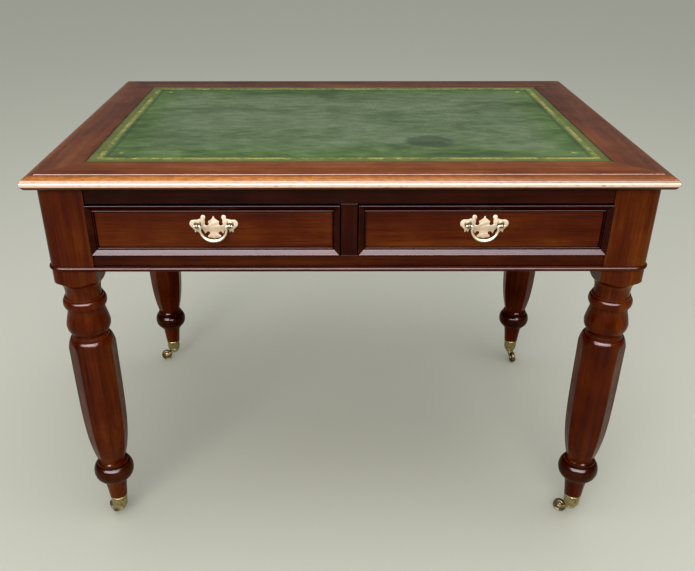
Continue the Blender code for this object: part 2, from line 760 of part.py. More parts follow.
def bail_path():
    """(x, z) from one pin, round the hanging bail, to the other pin, about the pivot."""
    post = POST_SPACING / 2
    half = [(post + KNOB_RADIUS + 0.001, 0.0)]
    half += arc((post - KNOB_RADIUS, -BAIL_ELBOW), BAIL_ELBOW, 90, 180, 2)
    for step in range(6):
        z = BAIL_SHOULDER + (-BAIL_DROP - BAIL_SHOULDER) * math.sin(math.radians(90 * step / 6))
        x = BAIL_HALF_WIDTH * (1 - (-z / BAIL_DROP) ** BAIL_POWER) ** (1 / BAIL_POWER)
        half.append((x, z))
    return half + [(0.0, -BAIL_DROP)] + [(-x, z) for x, z in reversed(half)]


def bail_mesh():
    """A round wire along the bail's path, thicker at the bottom than at the pins."""
    path = bail_path()
    rings = []
    for i, (x, z) in enumerate(path):
        before = Vector(path[max(i - 1, 0)])
        after = Vector(path[min(i + 1, len(path) - 1)])
        along = (after - before).normalized()
        radius = PIN_RADIUS + (BAIL_RADIUS - PIN_RADIUS) * (-z / BAIL_DROP) ** 2
        ring = []
        for angle in (math.radians(60 * k) for k in range(6)):
            across = radius * math.cos(angle)
            ring.append((x - along.y * across, radius * math.sin(angle), z + along.x * across))
        rings.append(ring)
    return swept(rings)


def post_mesh():
    """A handle post along -Y about the panel's face, with a hole for the bail's pin."""
    inner = -FRONT_THICKNESS - SHANK_REACH
    flange = PLATE_THICKNESS + 2 * GAP
    profile = [(SHANK_RADIUS, inner), (SHANK_RADIUS, flange), (0.0060, flange)]
    profile += [(0.0058, flange + 0.0010), (0.0032, flange + 0.0026)]
    for angle in (math.radians(a) for a in (-45, 0, 45, 75)):
        radius = (KNOB_RADIUS + 0.0004) * math.cos(angle)
        profile.append((radius, PIVOT_PROJECTION + (KNOB_RADIUS + 0.0004) * math.sin(angle)))
    mesh = turned(profile, ROD_SIDES)
    mesh.transform(Matrix.Rotation(math.pi / 2, 4, "X"))
    hole = rod(PIN_RADIUS + 2 * GAP, (-0.01, -PIVOT_PROJECTION, 0), (0.01, -PIVOT_PROJECTION, 0))
    return cut(mesh, hole)


def make_handle(name, middle, body):
    plate = prism(plate_outline(), "Y", PANEL_Y - GAP - PLATE_THICKNESS, PANEL_Y - GAP)
    holes = []
    for post_x in (-POST_SPACING / 2, POST_SPACING / 2):
        start = (post_x, PANEL_Y - 0.01, 0.0)
        holes.append(rod(SHANK_RADIUS + GAP, start, (post_x, PANEL_Y + 0.01, 0.0)))
    plate = cut(plate, *holes)
    plate.transform(Matrix.Translation((middle, 0.0, HANDLE_HEIGHT)))
    add_in_place(name + "_plate", plate, "brass", body)
    for which, side_x in (("left", -1), ("right", 1)):
        place = (middle + side_x * POST_SPACING / 2, PANEL_Y, HANDLE_HEIGHT)
        add(name + "_post_" + which, post_mesh(), "brass", place, body)
    add(name + "_bail", bail_mesh(), "brass", (middle, PIVOT_Y, HANDLE_HEIGHT), body)


# Castors, about the swivel axis at floor level, with the wheel trailing along +X


def cup_mesh():
    hole = SWIVEL_PIN_RADIUS + 2 * GAP
    outer = [(hole, CUP_BOTTOM), (0.0100, CUP_BOTTOM), (0.0130, 0.0292), (0.0154, 0.0370)]
    outer += [(0.0168, 0.0480), (0.0174, CUP_TOP)]
    inner = [(0.0152, CUP_TOP), (0.0138, 0.0370), (0.0113, CUP_FLOOR), (hole, CUP_FLOOR)]
    return turned(outer + inner, hollow=True)


def horn_mesh():
    """The forked horn with its riveted swivel pin."""
    head = CUP_FLOOR + SWIVEL_CLEARANCE
    disc_top = CUP_BOTTOM - SWIVEL_CLEARANCE
    profile = [(0.0085, 0.0222), (0.0098, 0.0232), (0.0098, disc_top)]
    profile += [(SWIVEL_PIN_RADIUS, disc_top), (SWIVEL_PIN_RADIUS, head)]
    profile += [(0.0045, head), (0.0036, head + 0.0014)]
    stem = turned(profile)
    outline = [(-0.0060, 0.0228), (-0.0052, 0.0254), (0.0060, 0.0254), (0.0155, 0.0205)]
    outline += arc((TRAIL, WHEEL_RADIUS), 0.0042, 75, -150, 4)
    outline += [(0.0095, 0.0165), (0.0030, 0.0224)]
    near = WHEEL_WIDTH / 2 + FORK_CLEARANCE
    arms = [prism(outline, "Y", near, near + ARM_THICKNESS)]
    arms.append(prism(outline, "Y", -near - ARM_THICKNESS, -near))
    horn = join(stem, *arms)
    start = (TRAIL, -WHEEL_WIDTH, WHEEL_RADIUS)
    return cut(horn, rod(AXLE_RADIUS + 2 * GAP, start, (TRAIL, WHEEL_WIDTH, WHEEL_RADIUS)))


def along_axle(mesh):
    """A mesh turned about Z, laid along the axle."""
    mesh.transform(Matrix.Rotation(math.pi / 2, 4, "X"))
    return mesh


def axle_mesh():
    end = WHEEL_WIDTH / 2 + FORK_CLEARANCE + ARM_THICKNESS
    half = [(AXLE_RADIUS, 0.0), (AXLE_RADIUS, end + GAP), (0.0032, end + GAP)]
    half += [(0.0022, end + 0.0013)]
    profile = [(r, -z) for r, z in reversed(half[1:])] + half[1:]
    return along_axle(turned(profile, ROD_SIDES))


def wheel_mesh():
    side = WHEEL_WIDTH / 2
    half = [(WHEEL_RADIUS, side - 0.0017), (0.0120, side), (0.0085, side - 0.0010)]
    half.append((AXLE_RADIUS + 2 * GAP, side))
    profile = [(r, -z) for r, z in reversed(half)] + half
    return along_axle(turned(profile, WHEEL_SIDES, hollow=True, phase=0.0))


def make_castor(place, side_x, side_y, heading, meshes):
    name = "castor_" + place
    x = side_x * LEG_X
    y = side_y * LEG_Y
    add(name + "_cup", meshes["cup"], "old_brass", (x, y, 0.0))
    swivel = frame(name + "_swivel", (x, y, 0.0))
    hub_x = x + TRAIL * math.cos(heading)
    hub_y = y + TRAIL * math.sin(heading)
    hub = (hub_x, hub_y, WHEEL_RADIUS)
    add(name + "_horn", meshes["horn"], "old_brass", (x, y, 0.0), swivel, heading)
    add(name + "_axle", meshes["axle"], "iron", hub, swivel, heading)
    add(name + "_wheel", meshes["wheel"], "old_brass", hub, swivel, heading)


def main():
    clear_scene()
    make_top()
    make_legs()
    make_frieze()
    make_runners()
    make_beads()
    for side, side_x in (("left", -1), ("right", 1)):
        make_drawer(side, side_x)
    meshes = {"cup": cup_mesh(), "horn": horn_mesh(), "axle": axle_mesh(), "wheel": wheel_mesh()}
    for place, (side_x, side_y, heading) in LEGS.items():
        make_castor(place, side_x, side_y, heading, meshes)


main()
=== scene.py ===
"""The looks of the writing desk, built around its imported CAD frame. Metres, +Z up.

Boards keep their CAD meshes with softened edges. Mouldings, turned legs, the leather,
handles and castors are replaced by finer meshes in the same places.
"""

import math

import bmesh
import bpy
import numpy as np
from mathutils import Matrix, Vector


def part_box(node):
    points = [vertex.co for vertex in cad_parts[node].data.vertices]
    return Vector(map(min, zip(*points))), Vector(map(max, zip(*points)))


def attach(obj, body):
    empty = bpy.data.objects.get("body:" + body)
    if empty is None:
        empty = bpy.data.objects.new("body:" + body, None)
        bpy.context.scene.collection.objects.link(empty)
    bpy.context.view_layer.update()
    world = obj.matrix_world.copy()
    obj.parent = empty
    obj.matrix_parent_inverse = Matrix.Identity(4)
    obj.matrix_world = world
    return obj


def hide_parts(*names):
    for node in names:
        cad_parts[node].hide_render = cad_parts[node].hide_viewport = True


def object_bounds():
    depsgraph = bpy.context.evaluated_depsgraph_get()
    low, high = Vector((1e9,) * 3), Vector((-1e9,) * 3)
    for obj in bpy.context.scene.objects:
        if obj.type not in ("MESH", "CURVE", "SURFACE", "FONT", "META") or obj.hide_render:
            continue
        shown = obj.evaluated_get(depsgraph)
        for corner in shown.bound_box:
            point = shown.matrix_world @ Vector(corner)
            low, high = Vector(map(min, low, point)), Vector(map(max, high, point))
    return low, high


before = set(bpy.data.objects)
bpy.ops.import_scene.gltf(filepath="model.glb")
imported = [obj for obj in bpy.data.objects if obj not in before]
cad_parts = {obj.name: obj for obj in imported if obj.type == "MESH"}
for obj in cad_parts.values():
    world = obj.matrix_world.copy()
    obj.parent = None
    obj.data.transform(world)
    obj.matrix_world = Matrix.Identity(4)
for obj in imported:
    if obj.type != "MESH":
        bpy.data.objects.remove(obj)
cad_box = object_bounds()

GAP = 0.0003
SIDES = (("left", -1), ("right", 1))

# Floor, light and camera
FLOOR_SIZE = 40.0
WORLD_LIGHT = (0.66, 0.18)  # seen by diffuse light, and by reflections
LIGHT_TARGET = (0.0, 0.0, 0.45)
LOOK = "Medium High Contrast"
BLACK_LEVEL = 0.0065
SOFTBOXES = (
    ("front_softbox", (-0.6, -3.4, 2.7), (3.4, 1.6), 90.0, True),
    ("overhead_softbox", (0.3, -0.4, 3.4), (3.0, 2.4), 45.0, True),
    ("front_gloss", (-0.4, -2.6, 2.9), (5.4, 3.2), 740.0, False),
)
GLOSS_TINT = (1.0, 0.93, 1.0)
CAMERA_PLACE = (-0.02947, -1.52881, 1.16261)
CAMERA_PITCH = 28.0928
CAMERA_YAW = 0.1489
CAMERA_LENS = 39.4365
CAMERA_SHIFT = (0.02038, 0.02272)

# Top
BORDER_STEPS = 140
DENT_DEPTH = 0.0003
OVOLO_WIDTH = 0.02
QUIRK = 0.0012
NOSE_DROP = 0.0115
NOSE_TUCK = 0.0015
TONGUE_LENGTH = 0.008
TONGUE_RISE = 0.008
TONGUE_THICKNESS = 0.006

# Leather, as distances inwards from its edge
GILT_OUTER = 0.0165
GILT_INNER = 0.0232
BLIND_LINES = (0.0296, 0.0322)
FLEURON_INSET = 0.05
ROLL_PITCH = 0.0098
TOOLING_RISE = 0.00012
RIM_DROP = 0.00035
BLIND_DEPTH = 0.00028
PILLOW_DEPTH = 0.0001
OLD_STAIN = (0.151, -0.16, 0.765)

# Legs, with heights from the floor, and frieze
BLOCK_CORNER = 0.02
BLOCK_FOOT = 0.54
SHAFT = (0.155, 0.444)
TAPER = (0.154, 0.43)
BULB = (0.109, 0.154)
BEAD_DEPTH = 0.007
BEAD_STEPS = 80

# Handles
POST_SPACING = 0.0546
PIVOT_PROJECTION = 0.012
PLATE_THICKNESS = 0.0018
BAIL_HALF_WIDTH = 0.0228
BAIL_DROP = 0.0265
BAIL_SHOULDER = -0.0062
BAIL_ELBOW = 0.0026
BAIL_POWER = 2.25
BAIL_RADII = (0.0019, 0.0028)
KNOB_RADIUS = 0.0035
SHANK_HOLE = 0.0023

# Castors: the heading of each trailing wheel, in degrees
HEADINGS = {"front_left": 141, "front_right": 143, "back_left": 196, "back_right": -79}
TRAIL = 0.022
WHEEL_RADIUS = 0.0135
WHEEL_WIDTH = 0.009
FORK_CLEARANCE = 0.0005
ARM_THICKNESS = 0.0022
AXLE_RADIUS = 0.0018
CUP_FLOOR = 0.0285


# Stage


def in_scene(name, data):
    """A new object that holds the data, linked to the scene."""
    made = bpy.data.objects.new(name, data)
    bpy.context.scene.collection.objects.link(made)
    return made


def put_camera():
    data = bpy.data.cameras.new("camera")
    data.sensor_width = 36.0
    data.lens = CAMERA_LENS
    data.shift_x, data.shift_y = CAMERA_SHIFT
    data.dof.use_dof = False
    camera = in_scene("camera", data)
    camera.location = CAMERA_PLACE
    camera.rotation_euler = (math.radians(90 - CAMERA_PITCH), 0.0, math.radians(-CAMERA_YAW))
    bpy.context.scene.camera = camera


def softbox(name, place, size, power, in_diffuse):
    """An area light aimed at the desk. One left out of the diffuse light only adds gloss."""
    data = bpy.data.lights.new(name, "AREA")
    data.color = (1.0, 1.0, 1.0) if in_diffuse else GLOSS_TINT
    data.shape = "RECTANGLE"
    data.size, data.size_y = size
    data.energy = power
    lamp = in_scene(name, data)
    lamp.location = place
    aim = Vector(LIGHT_TARGET) - Vector(place)
    lamp.rotation_euler = aim.to_track_quat("-Z", "Y").to_euler()
    lamp.visible_diffuse = in_diffuse
    lamp.visible_camera = False


def light_studio():
    world = bpy.data.worlds.new("studio")
    world.use_nodes = True
    tree = world.node_tree
    background = tree.nodes["Background"]
    background.inputs["Color"].default_value = (0.95, 0.97, 1.0, 1.0)
    strength = tree.nodes.new("ShaderNodeMapRange")
    strength.inputs["To Min"].default_value, strength.inputs["To Max"].default_value = WORLD_LIGHT
    rays = tree.nodes.new("ShaderNodeLightPath")
    tree.links.new(rays.outputs["Is Glossy Ray"], strength.inputs["Value"])
    tree.links.new(strength.outputs[0], background.inputs["Strength"])
    bpy.context.scene.world = world
    settings = bpy.context.scene.view_settings
    settings.view_transform = "Standard"
    settings.look = LOOK
    settings.use_curve_mapping = True
    settings.curve_mapping.black_level = (BLACK_LEVEL, BLACK_LEVEL, BLACK_LEVEL)
    settings.curve_mapping.update()
    for box in SOFTBOXES:
        softbox(*box)


# Meshes


def solid(vertices, faces):
    """A closed mesh with its faces pointing out."""
    mesh = bpy.data.meshes.new("solid")
    mesh.from_pydata([tuple(point) for point in vertices], [], faces)
    shell = bmesh.new()
    shell.from_mesh(mesh)
    bmesh.ops.recalc_face_normals(shell, faces=shell.faces)
    shell.to_mesh(mesh)
    shell.free()
    return mesh


def swept(rings, closed=False):
    """Rings of matching points joined in order, as a loop or with a cap at each end."""
    count = len(rings[0])
    vertices = [point for ring in rings for point in ring]
    faces = []
    for i in range(len(rings) if closed else len(rings) - 1):
        here = i * count
        there = ((i + 1) % len(rings)) * count
        for j in range(count):
            after = (j + 1) % count
            faces.append((here + j, here + after, there + after, there + j))
    if not closed:
        faces.append(tuple(range(count)))
        faces.append(tuple(range(len(vertices) - count, len(vertices))))
    return solid(vertices, faces)


def prism(outline, low, high):
    """An (x, z) outline extruded along Y."""
    return swept([[(x, y, z) for x, z in outline] for y in (low, high)])


def turned(profile, sides=48, hollow=False):
    """(radius, height) points turned about Z. A hollow profile closes on itself."""
    angles = [2 * math.pi * i / sides for i in range(sides)]
    rings = [[(r * math.cos(a), r * math.sin(a), z) for a in angles] for r, z in profile]
    return swept(rings, closed=hollow)


def rod(radius, start, end):
    axis = Vector(end) - Vector(start)
    mesh = turned([(radius, 0.0), (radius, axis.length)], 24)
    mesh.transform(Matrix.Translation(start) @ axis.to_track_quat("Z", "Y").to_matrix().to_4x4())
    return mesh


def with_modifiers(mesh, add_modifiers):
    """The mesh after the modifiers that add_modifiers gives to an object that holds it."""
    holder = in_scene("holder", mesh)
    add_modifiers(holder)
    graph = bpy.context.evaluated_depsgraph_get()
    result = bpy.data.meshes.new_from_object(holder.evaluated_get(graph))
    bpy.data.objects.remove(holder, do_unlink=True)
    return result


def boolean(mesh, others, operation):
    """The mesh after an exact Boolean with each of the others."""
    helpers = [in_scene("helper", other) for other in others]

    def add_all(holder):
        for helper in helpers:
            modifier = holder.modifiers.new("boolean", "BOOLEAN")
            modifier.operation = operation
            modifier.solver = "EXACT"
            modifier.object = helper

    result = with_modifiers(mesh, add_all)
    for helper in helpers:
        bpy.data.objects.remove(helper, do_unlink=True)
    return result


def drilled(mesh, radius, start, end):
    """The mesh with a round hole from start to end."""
    return boolean(mesh, [rod(radius, start, end)], "DIFFERENCE")


def add_bevel(holder, width, angle=38):
    modifier = holder.modifiers.new("bevel", "BEVEL")
    modifier.width = width
    modifier.segments = 2
    modifier.limit_method = "ANGLE"
    modifier.angle_limit = math.radians(angle)


def bevelled(mesh, width, angle=38):
    return with_modifiers(mesh, lambda holder: add_bevel(holder, width, angle))


def merged(meshes):
    """One mesh of separate bodies."""
    group = bmesh.new()
    for mesh in meshes:
        group.from_mesh(mesh)
    result = bpy.data.meshes.new("group")
    group.to_mesh(result)
    group.free()
    return result


def moved(mesh, place, turn=0.0):
    """A copy of the mesh turned about Z and put in its place."""
    copy = mesh.copy()
    copy.transform(Matrix.Translation(place) @ Matrix.Rotation(turn, 4, "Z"))
    return copy


# Outlines


def arc(centre, radii, start, end, steps):
    """Points round part of an ellipse, between two angles in degrees."""
    points = []
    for step in range(steps + 1):
        angle = math.radians(start + (end - start) * step / steps)
        x = centre[0] + radii[0] * math.cos(angle)
        points.append((x, centre[1] + radii[1] * math.sin(angle)))
    return points


def smooth(points, steps=4):
    """A Catmull-Rom curve through the points, with so many steps between neighbours."""
    points = [Vector(point) for point in points]
    guides = [2 * points[0] - points[1]] + points + [2 * points[-1] - points[-2]]
    curve = [tuple(points[0])]
    for a, b, c, d in zip(guides, guides[1:], guides[2:], guides[3:]):
        for step in range(1, steps + 1):
            t = step / steps
            cubic = 2 * b + (c - a) * t + (2 * a - 5 * b + 4 * c - d) * t**2
            cubic += (3 * b - a - 3 * c + d) * t**3
            curve.append(tuple(cubic / 2))
    return curve


def wander(t, seed):
    """A smooth random curve between about -1 and 1, the same each run."""
    waves = 7
    random = np.random.default_rng(seed)
    value = 0.0
    for turns, phase in zip(random.uniform(5, 60, waves), random.uniform(0, 6.28, waves)):
        value += math.sin(turns * t + phase)
    return value / waves * 1.6


def middle_of(node):
    low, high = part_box(node)
    return (low + high) / 2


# Pieces


def piece(name, mesh, material, body, nodes=(), sharp=34):
    """A named piece that rides on a body and stands for CAD nodes."""
    mesh.materials.clear()
    mesh.materials.append(material)
    mesh.shade_smooth()
    mesh.set_sharp_from_angle(angle=math.radians(sharp))
    made = in_scene(name, mesh)
    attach(made, body)
    if nodes:
        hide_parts(*nodes)
    return made


def dress(node, kind, grain, seed, edge=0.0008, stain_and_shade=(1.0, 1.0, 1.0)):
    """A CAD board keeps its mesh, and gets its timber and softened edges."""
    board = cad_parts[node]
    board.data.materials.clear()
    board.data.materials.append(wood(node, kind, grain, seed, stain_and_shade))
    weld = board.modifiers.new("weld", "WELD")
    weld.merge_threshold = 0.00001
    flat = board.modifiers.new("flat", "DECIMATE")
    flat.decimate_type = "DISSOLVE"
    flat.angle_limit = math.radians(0.5)
    add_bevel(board, edge)


# Materials


class Paint:
    """A material being made, with short ways to add its nodes."""

    def __init__(self, name):
        self.material = bpy.data.materials.new(name)
        self.material.use_nodes = True
        self.tree = self.material.node_tree
        self.shader = self.tree.nodes["Principled BSDF"]
        self.place = self.add("ShaderNodeTexCoord").outputs["Object"]

    def add(self, kind, inputs=None, **settings):
        made = self.tree.nodes.new(kind)
        for key, value in settings.items():
            setattr(made, key, value)
        for key, value in (inputs or {}).items():
            self.plug(made.inputs[key], value)
        return made

    def plug(self, socket, value):
        if isinstance(value, bpy.types.NodeSocket):
            self.tree.links.new(value, socket)
        elif socket.type == "RGBA":
            socket.default_value = (*value, 1.0)
        else:
            socket.default_value = value

    def set(self, **values):
        """Sets the shader's sockets, with _ for each space in a name."""
        for key, value in values.items():
            self.plug(self.shader.inputs[key.replace("_", " ")], value)

    def number(self, operation, a, b=0.0, clamp=False):
        made = self.add("ShaderNodeMath", {0: a, 1: b}, operation=operation, use_clamp=clamp)
        return made.outputs[0]

    def product(self, value, *factors):
        for factor in factors:
            value = self.number("MULTIPLY", value, factor)
        return value

    def plus(self, value, other, weight, clamp=False):
        """The value with so much of the other added."""
        return self.number("ADD", value, self.product(other, weight), clamp)

    def vector(self, operation, a, b):
        return self.add("ShaderNodeVectorMath", {0: a, 1: b}, operation=operation).outputs[0]

    def shifted(self, seed):
        """The place moved by a seeded offset, so that each material has its own pattern."""
        offset = np.random.default_rng(seed).uniform(-9.0, 9.0, 3)
        return self.vector("ADD", self.place, tuple(offset))

    def axes(self):
        """The place's X, Y and Z."""
        return self.add("ShaderNodeSeparateXYZ", {0: self.place}).outputs

    def noise(self, vector, scale=1.0, detail=3.0, roughness=0.5, distortion=0.0):
        inputs = {"Vector": vector, "Scale": scale, "Detail": detail}
        inputs.update({"Roughness": roughness, "Distortion": distortion})
        return self.add("ShaderNodeTexNoise", inputs).outputs[0]

    def stretched(self, place, scales, **settings):
        """Noise with its own scale along each axis."""
        return self.noise(self.vector("MULTIPLY", place, scales), **settings)

    def between(self, value, low, high, to_low=0.0, to_high=1.0):
        """The value's place between low and high, eased and limited, as to_low to to_high."""
        inputs = {0: value, 1: low, 2: high, 3: to_low, 4: to_high}
        kind = "SMOOTHSTEP"
        return self.add("ShaderNodeMapRange", inputs, interpolation_type=kind).outputs[0]

    def mix(self, factor, a, b, blend="MIX"):
        colours = {0: factor, 6: a, 7: b}
        return self.add("ShaderNodeMix", colours, data_type="RGBA", blend_type=blend).outputs[2]

    def ramp(self, factor, stops):
        made = self.add("ShaderNodeValToRGB", {0: factor})
        ramp = made.color_ramp
        while len(ramp.elements) < len(stops):
            ramp.elements.new(0.5)
        for element, (position, colour) in zip(ramp.elements, stops):
            element.position = position
            element.color = (*colour, 1.0)
        return made.outputs[0]

    def bump(self, height, distance, strength, **normal):
        inputs = {"Height": height, "Distance": distance, "Strength": strength, **normal}
        return self.add("ShaderNodeBump", inputs).outputs[0]

    def crevice(self, distance):
        """1 in the open, towards 0 in corners and gaps."""
        made = self.add("ShaderNodeAmbientOcclusion", {"Distance": distance}, samples=5)
        return made.outputs["AO"]

    def rounded(self, radius):
        """The normal near edges as if they were rounded."""
        return self.add("ShaderNodeBevel", {"Radius": radius}, samples=4).outputs[0]

    def edge(self, rounded):
        """0 on flat ground, rising to 1 on edges, from a rounded normal."""
        normal = self.add("ShaderNodeNewGeometry").outputs["Normal"]
        dot = self.add("ShaderNodeVectorMath", {0: rounded, 1: normal}, operation="DOT_PRODUCT")
        return self.between(dot.outputs["Value"], 0.985, 0.86)


# Painted light on the top's edge: a glow on the slope, a highlight on the worn nose, shade on the
# underside.
SLOPE_PAINTED_GLOW = (0.42, 0.165, 0.038)
NOSE_WEAR_AND_PAINTED_HIGHLIGHT = (0.78, 0.57, 0.45)
UNDERSIDE_PAINTED_SHADE = (0.03, 0.008, 0.004)
HIDE_TONES = (
    (0.36, (0.038, 0.074, 0.016)),
    (0.5, (0.06, 0.113, 0.024)),
    (0.64, (0.088, 0.15, 0.036)),
)
# Painted sheen, pale and grey, for the hide's middle.
HIDE_PAINTED_SHEEN = (0.118, 0.142, 0.092)
HIDE_OLIVE = (0.096, 0.112, 0.017)
HIDE_RIM = (0.012, 0.014, 0.005)
HIDE_BURNT = (0.018, 0.03, 0.008)
HIDE_STAIN = (0.026, 0.048, 0.02)
GOLD = (0.72, 0.6, 0.21)
RUBBED_GOLD = (0.11, 0.12, 0.02)
FLOOR_TONES = ((0.3, (0.46, 0.46, 0.392)), (0.7, (0.485, 0.485, 0.417)))
# Colour where rubbed and where dull, roughness and metalness of the two, amount of tarnish
METALS = {
    "plate_brass": ((0.43, 0.355, 0.255), (0.2, 0.17, 0.1), (0.58, 0.72), (0.5, 0.4), 0.35),
    "bail_brass": ((0.62, 0.52, 0.37), (0.2, 0.17, 0.1), (0.36, 0.55), (0.8, 0.5), 0.3),
    "post_brass": ((0.17, 0.155, 0.1), (0.05, 0.045, 0.03), (0.44, 0.6), (1.0, 0.55), 0.7),
    "old_brass": ((0.42, 0.36, 0.18), (0.085, 0.062, 0.026), (0.34, 0.58), (1.0, 0.55), 0.85),
    "wheel_brass": ((0.24, 0.19, 0.1), (0.022, 0.018, 0.012), (0.36, 0.62), (1.0, 0.55), 0.95),
    "iron": ((0.32, 0.3, 0.28), (0.06, 0.036, 0.022), (0.4, 0.7), (1.0, 0.55), 0.9),
}
# Each wood's dark colour is used for dirt and for painted shade in corners and gaps.
WOODS = {
    "mahogany": dict(
        tones=((0.04, 0.0038, 0.0005), (0.08, 0.013, 0.0012), (0.135, 0.035, 0.0032)),
        worn=(0.19, 0.065, 0.018), dirt_and_shade=(0.01, 0.0035, 0.002), roughness=(0.3, 0.46),
        coat=(0.42, 0.14), specular=0.04, pores=0.55,
    ),
    "mahogany_top": dict(
        tones=((0.1, 0.021, 0.005), (0.185, 0.044, 0.011), (0.28, 0.085, 0.023)),
        worn=(0.42, 0.235, 0.135), dirt_and_shade=(0.02, 0.008, 0.004), roughness=(0.34, 0.5),
        coat=(0.55, 0.2), specular=0.12, pores=0.85,
    ),
    "oak": dict(
        tones=((0.17, 0.09, 0.04), (0.3, 0.18, 0.09), (0.42, 0.28, 0.155)),
        worn=(0.48, 0.34, 0.2), dirt_and_shade=(0.05, 0.03, 0.016), roughness=(0.55, 0.75),
        coat=(0.0, 0.4), specular=0.35, pores=0.8,
    ),
    "pine": dict(
        tones=((0.27, 0.14, 0.055), (0.43, 0.27, 0.13), (0.52, 0.36, 0.2)),
        worn=(0.56, 0.42, 0.26), dirt_and_shade=(0.09, 0.055, 0.03), roughness=(0.6, 0.8),
        coat=(0.0, 0.4), specular=0.35, pores=0.15,
    ),
}
WOODS["mahogany_moulding"] = dict(WOODS["mahogany"], coat=(0.4, 0.22), specular=0.04)


def edge_wear_and_painted_light(paint, colour, edge_wear_and_light):
    """The top's moulded edge: a painted golden glow of reflected light on its slope, its nose rubbed
    pale and given a painted highlight, painted shade on its underside.

    The painted light is weaker towards the right, where less light falls, and on the sides and back.
    """
    axes = paint.axes()
    drop = paint.number("SUBTRACT", cad_box[1].z, axes["Z"])
    speckle = paint.stretched(paint.place, (90.0, 90.0, 260.0), detail=4.0, roughness=0.7)
    # Painted light: stronger at the left of the front edge, where the light falls.
    painted_light_from_left = paint.between(axes["X"], -0.15, 0.45, edge_wear_and_light, 0.25 * edge_wear_and_light)
    sloping = paint.between(drop, QUIRK / 2, 2 * QUIRK)
    slope_glow = paint.product(sloping, painted_light_from_left, paint.between(speckle, 0.36, 0.64, 0.45, 1.0))
    colour = paint.mix(slope_glow, colour, SLOPE_PAINTED_GLOW)
    # The nose is rubbed pale by wear, with a painted highlight over it.
    on_nose = paint.product(paint.between(drop, 0.0078, 0.0092), paint.between(drop, 0.0172, 0.015))
    rubbed = paint.product(on_nose, edge_wear_and_light, paint.between(speckle, 0.3, 0.5, 0.55, 0.95))
    colour = paint.mix(rubbed, colour, NOSE_WEAR_AND_PAINTED_HIGHLIGHT)
    # The underside darkens as painted shade.
    return paint.mix(paint.between(drop, 0.0155, 0.018, 0.0, 0.85), colour, UNDERSIDE_PAINTED_SHADE)


def wood(name, kind, axis, seed, stain_and_shade=(1.0, 1.0, 1.0), edge_wear_and_light=0.0, dark_band=None):
    """Polished or bare timber, with its grain along an axis and its own depth of stain, which on the
    top rail and divider is painted shade.

    The edge setting paints the top's moulded edge: wear, with painted highlight, glow and shade.
    dark_band gives two heights, with the colour darker between them.
    """
    look = WOODS[kind]
    paint = Paint(name)
    place = paint.shifted(seed)

    def grain(along, across, **settings):
        scales = [along if a == axis else across for a in "XYZ"]
        return paint.stretched(place, scales, **settings)

    figure = grain(1.6, 13.0, distortion=0.9)
    ribbon = grain(3.0, 95.0, detail=4.0, roughness=0.62, distortion=0.2)
    fibre = grain(16.0, 620.0, roughness=0.6)
    blotch = paint.noise(place, 11.0)
    pores = paint.between(grain(70.0, 1500.0, detail=1.0), 0.6, 0.7)
    tone = paint.plus(paint.product(figure, 0.32), ribbon, 0.26)
    tone = paint.plus(paint.plus(tone, fibre, 0.18), blotch, 0.24)
    dark, normal, light = look["tones"]
    colour = paint.ramp(tone, ((0.39, dark), (0.5, normal), (0.61, light)))
    colour = paint.mix(paint.product(pores, look["pores"]), colour, dark)
    # Multiplied by the stain, which on the top rail and divider is painted shade.
    colour = paint.mix(1.0, colour, stain_and_shade, "MULTIPLY")
    if edge_wear_and_light:
        colour = edge_wear_and_painted_light(paint, colour, edge_wear_and_light)
    # The colour is darker between the two heights of the band.
    if dark_band:
        height = paint.axes()["Z"]
        above = paint.between(height, dark_band[0], dark_band[0] + 0.004)
        below = paint.between(height, dark_band[1], dark_band[1] - 0.004, 0.0, 0.6)
        colour = paint.mix(paint.product(above, below), colour, look["dirt_and_shade"])

    rounded = paint.rounded(0.0012)
    crevice = paint.crevice(0.012)
    scuff = paint.between(paint.noise(place, 60.0, 4.0, 0.65), 0.4, 0.62, 0.25, 1.0)
    open_edge = paint.product(paint.edge(rounded), paint.between(crevice, 0.45, 0.85))
    colour = paint.mix(paint.product(open_edge, scuff, 0.65), colour, look["worn"])
    # Dirt, with painted shade: darker where the occlusion finds corners, gaps and nearby parts.
    grime_and_shade = paint.between(crevice, 0.72, 0.25, 0.0, 0.85)
    colour = paint.mix(grime_and_shade, colour, look["dirt_and_shade"])

    smear = paint.noise(place, 26.0, 4.0, 0.6)
    rough = paint.between(smear, 0.35, 0.65, *look["roughness"])
    rough = paint.plus(rough, grime_and_shade, 0.25, clamp=True)
    relief = paint.number("SUBTRACT", paint.product(fibre, 0.5), pores)
    relief = paint.plus(relief, smear, 0.8)
    coat, coat_roughness = look["coat"]
    normal = paint.bump(relief, 0.00012, 0.6, Normal=rounded)
    paint.set(Base_Color=colour, Roughness=rough, Normal=normal)
    paint.set(Coat_Weight=coat, Coat_Roughness=coat_roughness, Specular_IOR_Level=look["specular"])
    return paint.material


